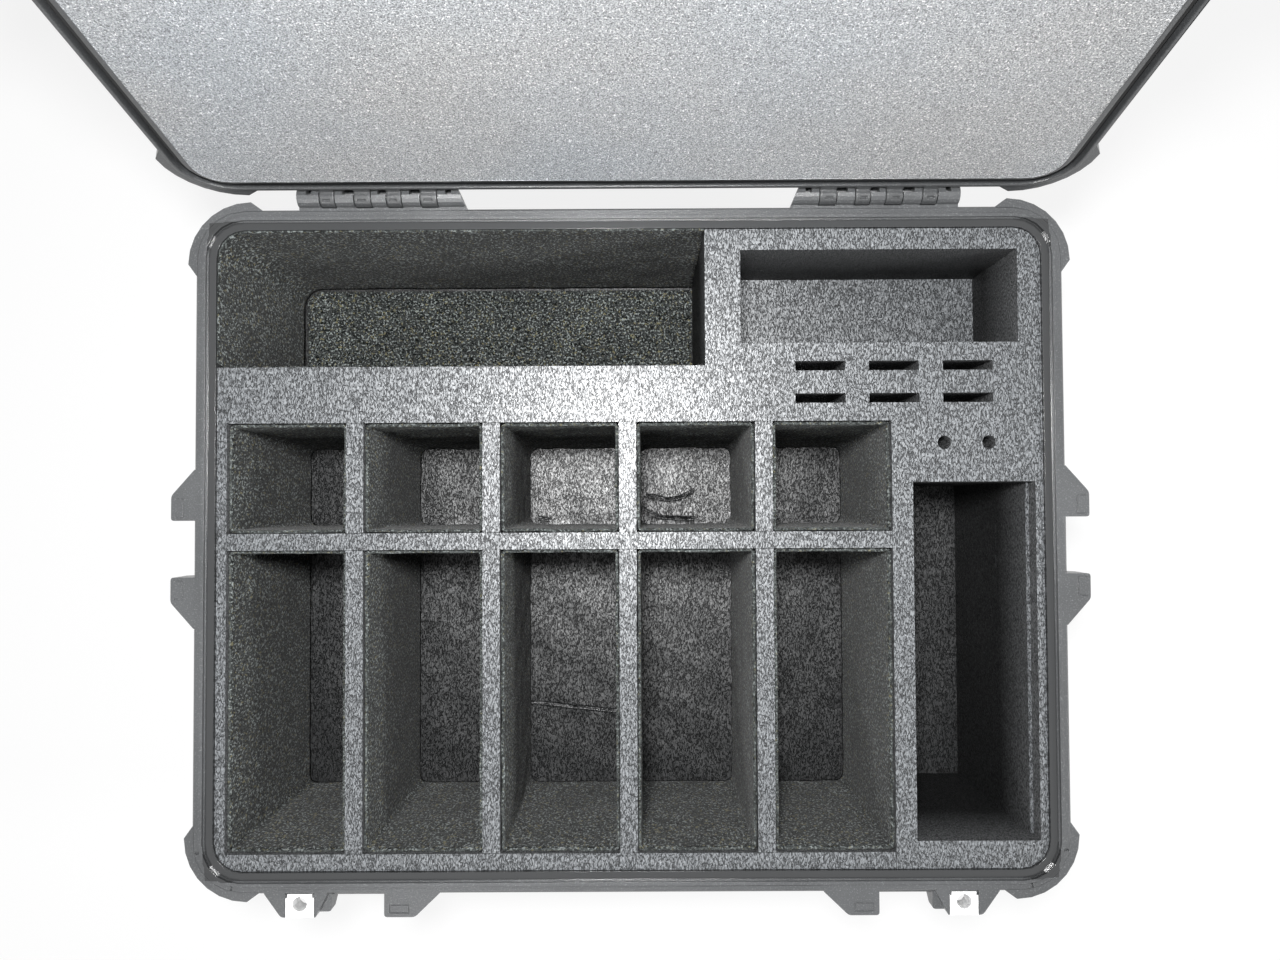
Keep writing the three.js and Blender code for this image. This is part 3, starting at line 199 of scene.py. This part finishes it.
def grain(add, scale, detail=2.0, roughness=0.5, distortion=0.0):
    """Noise whose features are one over scale across, with one scale for each axis."""
    place = add("ShaderNodeMapping", Vector=own_place(add), Scale=scale).outputs["Vector"]
    values = {"Vector": place, "Scale": 1.0, "Detail": detail, "Distortion": distortion}
    return add("ShaderNodeTexNoise", **values, Roughness=roughness).outputs["Fac"]


def ramp(add, factor, *stops):
    """A colour ramp of (position, colour) stops."""
    made = add("ShaderNodeValToRGB", Fac=factor)
    while len(made.color_ramp.elements) < len(stops):
        made.color_ramp.elements.new(0.5)
    for element, (position, colour) in zip(made.color_ramp.elements, stops):
        element.position = position
        element.color = opaque(colour)
    return made.outputs["Color"]


def grey(value, tint=0.0):
    """A grey that leans to blue by tint."""
    return (value, value * (1 + tint / 2), value * (1 + tint))


def opaque(colour):
    return (*colour, 1)


def span(add, value, low, high, to_low, to_high):
    """Maps the range from low to high onto another, and holds its ends beyond."""
    return add("ShaderNodeMapRange", i0=value, i1=low, i2=high, i3=to_low, i4=to_high).outputs["Result"]


def blended(add, factor, first, second, mode="MIX"):
    settings = {"data_type": "RGBA", "blend_type": mode}
    return add("ShaderNodeMix", settings, i0=factor, i6=first, i7=second).outputs[2]


def bumped(add, shader, tree, height, strength, distance, below=None):
    """Relief from a height, on top of the relief below it where there is one."""
    values = {"Height": height, "Strength": strength, "Distance": distance}
    if below is not None:
        values["Normal"] = below
    made = add("ShaderNodeBump", **values).outputs["Normal"]
    tree.links.new(made, shader.inputs["Normal"])
    return made


def product(add, first, second):
    return add("ShaderNodeMath", {"operation": "MULTIPLY"}, i0=first, i1=second).outputs[0]


def absolute(add, value):
    return add("ShaderNodeMath", {"operation": "ABSOLUTE"}, i0=value).outputs[0]


def outer_band(add, inset):
    """1 on the outer part of the base's rim and outside it, 0 inside, counted from the rim's edge."""
    blur = 0.0002
    place = add("ShaderNodeSeparateXYZ", Vector=own_place(add))
    beyond = []
    for axis, half in zip("XY", RIM_HALF):
        away = absolute(add, place.outputs[axis])
        beyond.append(span(add, away, half - inset - blur, half - inset, 0.0, 1.0))
    return add("ShaderNodeMath", {"operation": "MAXIMUM"}, i0=beyond[0], i1=beyond[1]).outputs[0]


def rounded_edges(add, radius):
    """Shading of edges as if they were rounded off by a radius."""
    return add("ShaderNodeBevel", {"samples": 6}, Radius=radius).outputs["Normal"]


def moulded_plastic(name, dark, light, roughness, texture=0.00012, smooth_inset=None, edge=0.0009):
    """Moulded plastic: a fine grain, a cloudy sheen, small rubbed specks, and a polished inner rim whose
    colour is painted darker as a painted dark reflection.
    """
    material, tree, shader, add = new_material(name)
    clouds = grain(add, (16, 16, 16), detail=2)
    colour = ramp(add, clouds, (0.15, grey(dark, 0.08)), (0.85, grey(light, 0.08)))
    rubs = grain(add, (1000, 1000, 1000), detail=3, roughness=0.7)
    worn = span(add, rubs, 0.55, 0.72, 0.0, 0.6)
    fine = grain(add, (1100, 1100, 1100), detail=3, roughness=0.65)
    sheen = span(add, clouds, 0.15, 0.85, roughness - 0.04, roughness + 0.05)
    if smooth_inset is not None:
        grained = outer_band(add, smooth_inset)
        worn = product(add, worn, grained)
        fine = product(add, fine, grained)
        sheen = product(add, sheen, span(add, grained, 0.0, 1.0, 0.6, 1.0))
        # The inner rim's colour is painted darker: a painted dark reflection on the polished band.
        colour = blended(add, grained, opaque(grey(dark * 0.6, 0.08)), colour)
    link(tree, blended(add, worn, colour, opaque(grey(light * 3.2, 0.05))), shader, "Base Color")
    link(tree, sheen, shader, "Roughness")
    bumped(add, shader, tree, fine, 0.6, texture, rounded_edges(add, edge))
    fixed(shader, Specular_IOR_Level=0.7)
    return material


def lying(add):
    """1 on level faces and 0 on upright ones."""
    normal = add("ShaderNodeNewGeometry").outputs["Normal"]
    upward = add("ShaderNodeSeparateXYZ", Vector=normal).outputs["Z"]
    return span(add, absolute(add, upward), 0.5, 0.8, 0.0, 1.0)


def creases(add, scale):
    """0 along a creped skin's wrinkles, which run mostly along the case's depth, and up to 1 off them."""
    folds = grain(add, scale, detail=2, roughness=0.55, distortion=0.3)
    off = add("ShaderNodeMath", {"operation": "SUBTRACT"}, i0=folds, i1=0.5).outputs[0]
    return span(add, absolute(add, off), 0.01, 0.07, 0.0, 1.0)


def crepe_foam(name, dark, light, cut, roughness, gloss, coat, size=(720, 260, 420)):
    """Closed-cell foam: a creped skin on level faces, with painted shade in its creases and painted
    glints as pale specks; dull cut faces, painted paler near the top as if lit and darker lower down as
    if shaded.
    """
    material, tree, shader, add = new_material(name)
    ridge = creases(add, size)
    pores = grain(add, (1200, 600, 1200), detail=2, roughness=0.6)
    glints = grain(add, (1000, 600, 1000), detail=1)
    skin = lying(add)
    tone = ramp(add, pores, (0.36, grey(light * 0.55, 0.16)), (0.64, grey(light * 1.45, 0.14)))
    # Pale specks painted into the skin's colour: painted glints.
    painted_glints = span(add, glints, 0.62, 0.72, 0.0, 0.6)
    tone = blended(add, painted_glints, tone, opaque(grey(light * 3, 0.1)))
    # The creases are painted dark: painted shade in the wrinkles.
    tone = blended(add, ridge, opaque(grey(dark, 0.1)), tone)
    # Cut faces are painted paler near the top, where light falls on them, and darker lower down: painted
    # light and painted shade.
    height = add("ShaderNodeSeparateXYZ", Vector=own_place(add)).outputs["Z"]
    lit_near_top = span(add, height, FOAM_TOP - 0.06, FOAM_TOP - 0.004, 0.0, 1.0)
    shaded_deep = ramp(add, pores, (0.38, grey(cut * 0.3, 0.05)), (0.64, grey(cut * 1.6, 0.05)))
    upper = ramp(add, pores, (0.38, grey(cut * 2, 0.05)), (0.64, grey(cut * 10, 0.05)))
    faces = blended(add, lit_near_top, shaded_deep, upper)
    link(tree, blended(add, skin, faces, tone), shader, "Base Color")
    link(tree, span(add, pores, 0.35, 0.65, roughness + 0.12, roughness - 0.1), shader, "Roughness")
    fine = bumped(add, shader, tree, pores, 0.8, 0.0002)
    bumped(add, shader, tree, ridge, 0.8, 0.0006, fine)
    shine = product(add, span(add, ridge, 0.0, 1.0, 0.2, 1.0), span(add, pores, 0.36, 0.56, 0.65, 1.0))
    glossy = product(add, skin, shine)
    link(tree, span(add, glossy, 0.0, 1.0, 0.1, gloss), shader, "Specular IOR Level")
    link(tree, span(add, glossy, 0.0, 1.0, 0.0, gloss), shader, "Coat Weight")
    fixed(shader, Coat_Roughness=coat)
    return material


def open_foam(name, dark, light):
    """The lid's foam: pale, with a sharp salt-and-pepper grain, specks painted pale as glints, and
    shallow dimples.
    """
    material, tree, shader, add = new_material(name)
    cells = grain(add, (1150, 1150, 1150), detail=2, roughness=0.7)
    specks = grain(add, (900, 900, 900), detail=1)
    drift = grain(add, (7, 7, 7), detail=2)
    stops = [(0.34, dark), (0.5, (dark + light) / 2), (0.64, light)]
    tone = ramp(add, cells, *((position, grey(value, 0.06)) for position, value in stops))
    # Pale specks painted into the colour: painted glints.
    tone = blended(add, span(add, specks, 0.62, 0.7, 0.0, 0.9), tone, opaque(grey(0.85)))
    warm = ramp(add, drift, (0.35, (1.0, 0.985, 0.97)), (0.65, (0.96, 0.98, 1.0)))
    link(tree, blended(add, 1.0, tone, warm, "MULTIPLY"), shader, "Base Color")
    link(tree, span(add, cells, 0.3, 0.7, 0.98, 0.8), shader, "Roughness")
    fixed(shader, Specular_IOR_Level=0.12)
    bumped(add, shader, tree, cells, 1.0, 0.0006)
    return material


def needled_felt(name, dark, light, flecked=0.9):
    """Carpet felt: dark fibres with pale and ochre ones among them, drawn out along the walls' height."""
    material, tree, shader, add = new_material(name)

    def tufts(scale, **values):
        return grain(add, (scale, scale, scale * 0.7), **values)

    fibres = tufts(520, detail=3, roughness=0.8, distortion=0.3)
    flecks = tufts(640, detail=1, roughness=0.5, distortion=0.4)
    ochre = tufts(500, detail=1, roughness=0.5, distortion=0.4)
    patches = grain(add, (35, 35, 35), detail=3)
    tint = np.array((0.93, 1.02, 1.0))
    tone = ramp(add, fibres, (0.42, tint * dark), (0.58, tint * light))
    tone = blended(add, span(add, flecks, 0.57, 0.63, 0.0, flecked), tone, opaque(tint * light * 5))
    ochre_tone = opaque((light * 3.2, light * 2.9, light * 1.6))
    tone = blended(add, span(add, ochre, 0.64, 0.7, 0.0, flecked), tone, ochre_tone)
    shade = ramp(add, patches, (0.3, grey(0.7)), (0.7, grey(1.15)))
    link(tree, blended(add, 1.0, tone, shade, "MULTIPLY"), shader, "Base Color")
    fixed(shader, Roughness=0.95, Sheen_Weight=0.08, Sheen_Roughness=0.5, Specular_IOR_Level=0.15)
    bumped(add, shader, tree, fibres, 0.7, 0.0008)
    return material


def bare_steel(name, tone, roughness):
    """Steel with fine brush marks and a few dull spots."""
    material, tree, shader, add = new_material(name)
    brush = grain(add, (2600, 160, 160), detail=2)
    spots = grain(add, (240, 240, 240), detail=3)
    link(tree, ramp(add, spots, (0.35, grey(tone * 0.8)), (0.6, grey(tone))), shader, "Base Color")
    link(tree, span(add, brush, 0.3, 0.7, roughness - 0.08, roughness + 0.12), shader, "Roughness")
    fixed(shader, Metallic=1.0)
    bumped(add, shader, tree, brush, 0.3, 0.00005)
    return material


def soft_rubber(name, tone):
    """Dull rubber with a dusty bloom."""
    material, tree, shader, add = new_material(name)
    bloom = grain(add, (90, 90, 90), detail=4, roughness=0.7)
    link(tree, ramp(add, bloom, (0.35, grey(tone)), (0.7, grey(tone * 1.9))), shader, "Base Color")
    link(tree, span(add, bloom, 0.3, 0.7, 0.5, 0.75), shader, "Roughness")
    bumped(add, shader, tree, grain(add, (1400, 1400, 1400)), 0.4, 0.0001)
    return material


BASE_SHELL = moulded_plastic("base_plastic", dark=0.055, light=0.085, roughness=0.3, texture=0.00025,
                             smooth_inset=0.0082, edge=0.0003)
LID_SHELL = moulded_plastic("lid_plastic", dark=0.045, light=0.06, roughness=0.32, texture=0.0002,
                            edge=0.0018)
LATCH = moulded_plastic("latch_plastic", dark=0.035, light=0.05, roughness=0.34)
GRIP = moulded_plastic("grip_plastic", dark=0.02, light=0.03, roughness=0.6, texture=0.0003)
SEAL = soft_rubber("seal_rubber", tone=0.012)
STEEL = bare_steel("pin_steel", tone=0.6, roughness=0.34)
PLATE = bare_steel("plate_steel", tone=0.95, roughness=0.6)
# A pale, glossy plastic for the shells' rounded edges: a painted highlight along them.
SHELL_EDGE_HIGHLIGHT = moulded_plastic("painted_edge_highlight", dark=0.4, light=0.5, roughness=0.2, edge=0.0002)
FOAM = crepe_foam("block_foam", dark=0.02, light=0.12, cut=0.018, roughness=0.52, gloss=0.95, coat=0.37)
PAD = crepe_foam("pad_foam", dark=0.002, light=0.013, cut=0.01, roughness=0.44, gloss=0.72, coat=0.39,
                 size=(660, 260, 420))
LID_FOAM = open_foam("lid_foam", dark=0.16, light=0.54)
FELT = needled_felt("felt", dark=0.001, light=0.055)
# A paler felt for the felt's cut edges: a painted highlight where the edges catch the light.
FELT_LIT_EDGE = needled_felt("felt_edge", dark=0.02, light=0.085, flecked=0.35)


# Rigid pieces, which are the frame's own

def smooth(mesh, sharp_deg=None):
    """Smooth shading, with the edges sharp from an angle on where one is given."""
    for polygon in mesh.polygons:
        polygon.use_smooth = True
    if sharp_deg:
        mesh.set_sharp_from_angle(angle=math.radians(sharp_deg))


def dress(node, material, bevel=0.0, segments=2, edge=None):
    """Gives a rigid piece its material and smooth shading, and rounds its edges a little; where an edge
    material is given, the rounded faces get it as a painted highlight along the edges.
    """
    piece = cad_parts[node]
    piece.data.materials.clear()
    piece.data.materials.append(material)
    if edge:
        piece.data.materials.append(edge)
    if bevel:
        flat = piece.modifiers.new("merge", "DECIMATE")
        flat.decimate_type = "DISSOLVE"
        flat.angle_limit = math.radians(FLAT_DEG)
        round_off = piece.modifiers.new("bevel", "BEVEL")
        round_off.width = bevel
        round_off.segments = segments
        round_off.limit_method = "ANGLE"
        round_off.angle_limit = math.radians(BEVEL_DEG)
        round_off.use_clamp_overlap = True
        round_off.miter_outer = "MITER_ARC"
        if edge:
            round_off.material = 1
    smooth(piece.data, SHARP_DEG)


def dress_rigid_pieces():
    dress("base_shell", BASE_SHELL, SHELL_BEVEL, edge=SHELL_EDGE_HIGHLIGHT)
    dress("lid_shell", LID_SHELL, SHELL_BEVEL, edge=SHELL_EDGE_HIGHLIGHT)
    for node in ("lid_seal", "valve_seal"):
        dress(node, SEAL)
    for latch in LATCHES:
        for part in ("arm", "lever"):
            dress(f"latch_{latch}_{part}", LATCH, LATCH_BEVEL)
            dress(f"latch_{latch}_{part}_pin", STEEL)
    for handle in HANDLES:
        dress(f"handle_{handle}", GRIP, GRIP_BEVEL, segments=3)
        for end in "ab":
            dress(f"handle_{handle}_pin_{end}", STEEL)
    for side in SIDES:
        dress(f"hinge_pin_{side}", STEEL)
        dress(f"padlock_plate_base_{side}", PLATE, PLATE_BEVEL)
        dress(f"padlock_plate_lid_{side}", PLATE, PLATE_BEVEL)
    dress("valve_body", LATCH, LATCH_BEVEL)
    dress("valve_nut", STEEL, NUT_BEVEL)


# Meshes

def coordinates(mesh):
    flat = np.empty(len(mesh.vertices) * 3, np.float32)
    mesh.vertices.foreach_get("co", flat)
    return flat.reshape(-1, 3)


def normals(mesh):
    flat = np.empty(len(mesh.vertices) * 3, np.float32)
    mesh.vertex_normals.foreach_get("vector", flat)
    return flat.reshape(-1, 3)


def move(mesh, offsets):
    mesh.vertices.foreach_set("co", (coordinates(mesh) + offsets).astype(np.float32).ravel())
    mesh.update()


def placed(name, mesh):
    """A new object of the scene, with a mesh that is already in place."""
    made = bpy.data.objects.new(name, mesh)
    bpy.context.scene.collection.objects.link(made)
    return made


def applied(piece):
    """Turns a piece's modifiers into its mesh."""
    bpy.context.view_layer.update()
    evaluated = piece.evaluated_get(bpy.context.evaluated_depsgraph_get())
    made = bpy.data.meshes.new_from_object(evaluated)
    old = piece.data
    piece.modifiers.clear()
    piece.data = made
    bpy.data.meshes.remove(old)


def waves(points, amounts, lengths, seed):
    """A smooth unevenness made of crossed waves, the same at each run."""
    crossed = 5
    chance = np.random.default_rng(seed)
    total = np.zeros(len(points))
    for amount, length in zip(amounts, lengths):
        for _ in range(crossed):
            direction = chance.normal(size=3)
            direction /= np.linalg.norm(direction)
            phase = chance.uniform(0, 2 * np.pi)
            total += amount / 2.2 * np.sin(points @ direction * (2 * np.pi / length) + phase)
    return total


def levels(low, high, step):
    """Even values from low to high, no more than a step apart."""
    count = max(1, math.ceil((high - low) / step))
    return [low + (high - low) * i / count for i in range(count + 1)]


def lattice(rows, columns, closed=False):
    """Faces between rows of points, whose ends meet where the rows are closed."""
    faces = []
    for row in range(rows - 1):
        for column in range(columns if closed else columns - 1):
            a, b = row * columns + column, row * columns + (column + 1) % columns
            faces.append((a, b, b + columns, a + columns))
    return faces


# Foam pieces

def gridded(mesh, step, finer=()):
    """Cuts a solid's flat faces along planes one step apart, and closer in an axis's finer stretches."""
    points = coordinates(mesh)
    shape = bmesh.new()
    shape.from_mesh(mesh)
    flat = math.radians(FLAT_DEG)
    bmesh.ops.dissolve_limit(shape, angle_limit=flat, verts=shape.verts[:], edges=shape.edges[:])
    for axis in range(3):
        low, high = points[:, axis].min(), points[:, axis].max()
        count = math.ceil((high - low) / step)
        normal = Vector([float(axis == other) for other in range(3)])
        cuts = [low + (high - low) * i / count for i in range(1, count)]
        for finer_axis, start, end, finer_step in finer:
            if finer_axis == axis:
                cuts = [cut for cut in cuts if not start - finer_step < cut < end + finer_step]
                cuts += levels(start, end, finer_step)
        for cut in cuts:
            everything = shape.verts[:] + shape.edges[:] + shape.faces[:]
            bmesh.ops.bisect_plane(shape, geom=everything, plane_co=normal * cut, plane_no=normal,
                                   dist=CUT_NEARNESS)
    shape.to_mesh(mesh)
    shape.free()


def torn(points):
    """How much the pad's skin sinks along its cracks, and rises in front of them where it is loose."""
    shift = np.zeros(len(points))
    spots = points[:, :2]
    for crack in PAD_CRACKS:
        nearest = np.full(len(points), np.inf)
        before = np.zeros(len(points))
        for first, second in zip(np.array(crack), np.array(crack[1:])):
            along = second - first
            share = np.clip((spots - first) @ along / (along @ along), 0, 1)
            gap = spots - (first + share[:, None] * along)
            away = np.linalg.norm(gap, axis=1)
            closer = away < nearest
            nearest[closer] = away[closer]
            before[closer] = (gap[:, 1] < 0)[closer]
        shift -= CRACK_DEPTH * np.exp(-(nearest / CRACK_WIDTH) ** 2)
        shift += CRACK_LIP * before * np.exp(-((nearest - 2.5 * CRACK_WIDTH) / (1.5 * CRACK_WIDTH)) ** 2)
    return np.where(points[:, 2] > points[:, 2].mean(), shift, 0)


def foam_piece(node, body, material, step, uneven, seed, growth=FOAM_GROWTH, cracked=False):
    """A foam piece in its solid's place: edges that are crisp but not quite straight, uneven faces."""
    piece = placed(f"{node}_soft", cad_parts[node].data.copy())
    mesh = piece.data
    gridded(mesh, step, PAD_FINER if cracked else ())
    depth = growth - max(uneven) + waves(coordinates(mesh), uneven, UNEVEN_LENGTHS, seed)
    move(mesh, normals(mesh) * depth[:, None])
    if cracked:
        move(mesh, torn(coordinates(mesh))[:, None] * np.array((0, 0, 1)))
    mesh.materials.clear()
    mesh.materials.append(material)
    smooth(mesh, SHARP_FOAM_DEG)
    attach(piece, body)
    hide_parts(node)


def make_foam():
    for seed, node in enumerate(FOAM_BLOCKS + DIVIDERS):
        foam_piece(node, "base", FOAM, FOAM_STEP, BLOCK_UNEVEN, seed)
    foam_piece("floor_pad", "base", PAD, FOAM_STEP, PAD_UNEVEN, 11, growth=0.0, cracked=True)
    foam_piece("lid_foam", "lid", LID_FOAM, LID_FOAM_STEP, LID_FOAM_UNEVEN, 12, growth=0.0)


# Felt linings

def around(x, y, radius, degrees):
    """A point on a circle."""
    angle = math.radians(degrees)
    return Vector((x + radius * math.cos(angle), y + radius * math.sin(angle)))


def divided(key, counts):
    """Points along a path, with a given count on each of its stretches."""
    points = []
    for first, second, count in zip(key, key[1:], counts):
        points += [first.lerp(second, i / count) for i in range(count)]
    return points + [key[-1]]


def rounded_loop(low, high, radius, counts):
    """Points round a rectangle with rounded corners, with a set number along each of its sides."""
    left, front, right, back = low[0] + radius, low[1] + radius, high[0] - radius, high[1] - radius
    corners = [(left, front, 180), (right, front, 270), (right, back, 0), (left, back, 90)]
    points = []
    for corner, following, count in zip(corners, corners[1:] + corners[:1], counts):
        x, y, start = corner
        next_x, next_y, next_start = following
        points += [around(x, y, radius, start + turn) for turn in (0, 30, 60)]
        first, last = around(x, y, radius, start + 90), around(next_x, next_y, radius, next_start)
        points += [first.lerp(last, i / count) for i in range(count)]
    return points


def felt_sheet(name, rings, closed, node, inward, painted_lit_rim=True):
    """A sheet of felt through rings of points, from the lowest ring to the top edge, made thick, with its
    cut edges in a paler felt as a painted highlight where asked.
    """
    count = len(rings[0])
    mesh = bpy.data.meshes.new(name)
    mesh.from_pydata([tuple(p) for ring in rings for p in ring], [], lattice(len(rings), count, closed))
    mesh.update()
    piece = placed(name, mesh)
    nap = waves(coordinates(mesh), FELT_NAP, FELT_NAP_LENGTHS, len(name) + count)
    move(mesh, normals(mesh) * nap[:, None])
    thick = piece.modifiers.new("thickness", "SOLIDIFY")
    thick.thickness = FELT_THICKNESS
    thick.offset = inward
    # The rim faces take the paler felt: a painted highlight along the cut edges.
    thick.material_offset_rim = int(painted_lit_rim)
    mesh.materials.append(FELT)
    mesh.materials.append(FELT_LIT_EDGE)
    smooth(mesh)
    applied(piece)
    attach(piece, "base")
    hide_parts(node)


def pocket_sleeve(node):
    """The felt round the four walls of a pocket of the grid, which bulges a little towards its foot."""
    low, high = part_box(node)
    high.z += FELT_RISE
    counts = [max(2, round((b - a) / FELT_STEP)) for a, b in ((low.x, high.x), (low.y, high.y))] * 2
    heights = levels(low.z, high.z, FELT_STEP)
    rings = []
    for height in heights:
        share = (high.z - height) / (high.z - low.z)
        fray = FELT_FRAY if height == heights[-1] else 0
        radius = FELT_CORNER + (FELT_FOOT_CORNER - FELT_CORNER) * share ** 2
        wave = noise.noise(Vector((low.x * POCKET_SCALE, low.y * POCKET_SCALE, height * WALL_SCALE)))
        steady = FELT_BULGE_STEADY + (1 - FELT_BULGE_STEADY) * wave
        gap = FELT_BODY_GAP + FELT_BULGE * math.sin(math.pi * min(1.0, share * FELT_BULGE_SPAN)) * steady
        lean = FELT_LEAN * max(0.0, share - FELT_LEAN_START) / (1 - FELT_LEAN_START)
        front_left, back_right = (low.x + gap, low.y + gap), (high.x - gap, high.y - gap - lean)
        loop = rounded_loop(front_left, back_right, radius, counts)
        ring = []
        for p in loop:
            frayed = fray * noise.noise(Vector((p.x, p.y, 0)) * FELT_FRAY_SCALE)
            behind = max(0.0, (p.y - low.y) / (high.y - low.y) * 2 - 1) * share ** 2
            spot = Vector((p.x * FELT_LEAN_SCALE, low.y * POCKET_SCALE, share))
            ragged = FELT_LEAN_UNEVEN * behind * noise.noise(spot)
            ring.append((p.x, p.y + ragged, height + frayed))
        rings.append(ring)
    felt_sheet(f"{node}_sheet", rings, True, node,
               inward=-1)


def large_pocket_walls(node):
    """The felt on the large pocket's front, left and back walls, which lies against the tapered shell."""
    low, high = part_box(node)
    front = low.y + FELT_BODY_GAP
    rings, counts = [], []
    for height in levels(low.z + FELT_THICKNESS, high.z, FELT_STEP):
        share = min(1.0, (high.z - height) / (high.z - low.z))
        inset = FELT_TAPER * share + FELT_BODY_GAP
        left, back = low.x + inset, high.y - inset
        radius = FELT_BACK_CORNER - FELT_TAPER * share
        key = [Vector((high.x, front))]
        key += [around(left + FELT_CORNER, front + FELT_CORNER, FELT_CORNER, turn)
                for turn in (270, 240, 210, 180)]
        key += [around(left + radius, back - radius, radius, turn)
                for turn in (180, 162, 144, 126, 108, 90)]
        key.append(Vector((high.x, back)))
        counts = counts or [max(1, round((b - a).length / FELT_STEP)) for a, b in zip(key, key[1:])]
        ring = []
        for p in divided(key, counts):
            top = FELT_TOP if p.y < front + FELT_CORNER / 2 else high.z
            ring.append((p.x, p.y, min(height, top)))
        rings.append(ring)
    felt_sheet(f"{node}_walls", rings, False, node,
               inward=-1)


def large_pocket_floor(node):
    """The felt on the floor of the large pocket, with a rounded corner at the back left."""
    low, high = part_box(node)
    inset = FELT_TAPER + FELT_THICKNESS + 2 * FELT_BODY_GAP
    left, right = low.x + inset, high.x
    front, back = low.y + FELT_THICKNESS, high.y - inset
    centre_x, centre_y = left + FELT_FLOOR_CORNER, back - FELT_FLOOR_CORNER
    rings = []
    for y in levels(front, back, FELT_STEP):
        ring = []
        for x in levels(left, right, FELT_STEP):
            over_x, over_y = centre_x - x, y - centre_y
            shrink = 1.0
            if over_x > 0 and over_y > 0:
                shrink = max(over_x, over_y) / math.hypot(over_x, over_y)
            ring.append((centre_x - over_x * shrink, centre_y + over_y * shrink, low.z))
        rings.append(ring)
    felt_sheet(f"{node}_floor", rings, False, node,
               inward=1, painted_lit_rim=False)


def make_felt():
    for index in range(1, POCKET_COUNT + 1):
        pocket_sleeve(f"felt_back_pocket_{index}")
        pocket_sleeve(f"felt_front_pocket_{index}")
    large_pocket_walls("felt_large_pocket")
    large_pocket_floor("felt_large_pocket")


# Floor, light and camera

def background_rays(tree):
    """1 for the rays that see the white background: the camera's own, and those of metal and glass."""
    rays = tree.nodes.new("ShaderNodeLightPath")
    seen = rays.outputs["Is Camera Ray"]
    for kind in ("Is Glossy Ray", "Is Transmission Ray"):
        either = tree.nodes.new("ShaderNodeMath")
        either.operation = "MAXIMUM"
        tree.links.new(seen, either.inputs[0])
        tree.links.new(rays.outputs[kind], either.inputs[1])
        seen = either.outputs[0]
    return seen


def make_floor():
    """Pale paper that keeps the case's shadow, and that looks nearly white."""
    steps = levels(-FLOOR_HALF, FLOOR_HALF, FLOOR_STEP)
    mesh = bpy.data.meshes.new("floor")
    mesh.from_pydata([(x, y, 0) for y in steps for x in steps], [], lattice(len(steps), len(steps)))
    floor = placed("floor", mesh)
    floor.location.z = -FLOOR_DROP
    material, tree, shader, add = new_material("floor_paper")
    fixed(shader, Base_Color=opaque(grey(FLOOR_TONE)), Roughness=0.9, Specular_IOR_Level=0.1)
    output = next(n for n in tree.nodes if n.type == "OUTPUT_MATERIAL")
    share = product(add, background_rays(tree), FLOOR_WHITE_SHARE)
    white = add("ShaderNodeEmission", Strength=1.0)
    mixed = add("ShaderNodeMixShader", i0=share, i1=shader.outputs["BSDF"], i2=white.outputs[0])
    tree.links.new(mixed.outputs[0], output.inputs["Surface"])
    mesh.materials.append(material)


def make_world():
    """A dim room all round for the light, and white where the background is seen."""
    world = bpy.data.worlds.new("studio")
    world.use_nodes = True
    tree = world.node_tree
    tree.nodes.clear()
    output = tree.nodes.new("ShaderNodeOutputWorld")
    room = tree.nodes.new("ShaderNodeBackground")
    room.inputs["Color"].default_value = ROOM_COLOUR
    room.inputs["Strength"].default_value = ROOM_STRENGTH
    white = tree.nodes.new("ShaderNodeBackground")
    white.inputs["Strength"].default_value = 1.0
    mixed = tree.nodes.new("ShaderNodeMixShader")
    tree.links.new(background_rays(tree), mixed.inputs[0])
    tree.links.new(room.outputs[0], mixed.inputs[1])
    tree.links.new(white.outputs[0], mixed.inputs[2])
    tree.links.new(mixed.outputs[0], output.inputs["Surface"])
    bpy.context.scene.world = world


def area_light(name, place, target, size, power):
    data = bpy.data.lights.new(name, "AREA")
    data.shape = "DISK"
    data.size = size
    data.energy = power
    lamp = bpy.data.objects.new(name, data)
    lamp.location = place
    lamp.rotation_mode = "QUATERNION"
    lamp.rotation_quaternion = (Vector(target) - Vector(place)).to_track_quat("-Z", "Y")
    bpy.context.scene.collection.objects.link(lamp)


def make_camera():
    data = bpy.data.cameras.new("camera")
    data.sensor_width = SENSOR_WIDTH_MM
    data.lens = FOCAL_LENGTH_PX * SENSOR_WIDTH_MM / PICTURE_WIDTH_PX
    data.clip_start = CAMERA_NEAR
    data.clip_end = CAMERA_FAR
    camera = bpy.data.objects.new("camera", data)
    turn = Matrix.Identity(4)
    for angle, axis in zip(CAMERA_TURNS_DEG, "XYZ"):
        turn = turn @ Matrix.Rotation(math.radians(angle), 4, axis)
    camera.matrix_world = Matrix.Translation(CAMERA_PLACE) @ turn
    bpy.context.scene.collection.objects.link(camera)
    bpy.context.scene.camera = camera


bpy.context.scene.view_settings.view_transform = "Standard"
make_camera()
make_world()
for lamp_name, lamp_values in LAMPS.items():
    area_light(lamp_name, *lamp_values)
make_floor()
dress_rigid_pieces()
make_foam()
make_felt()
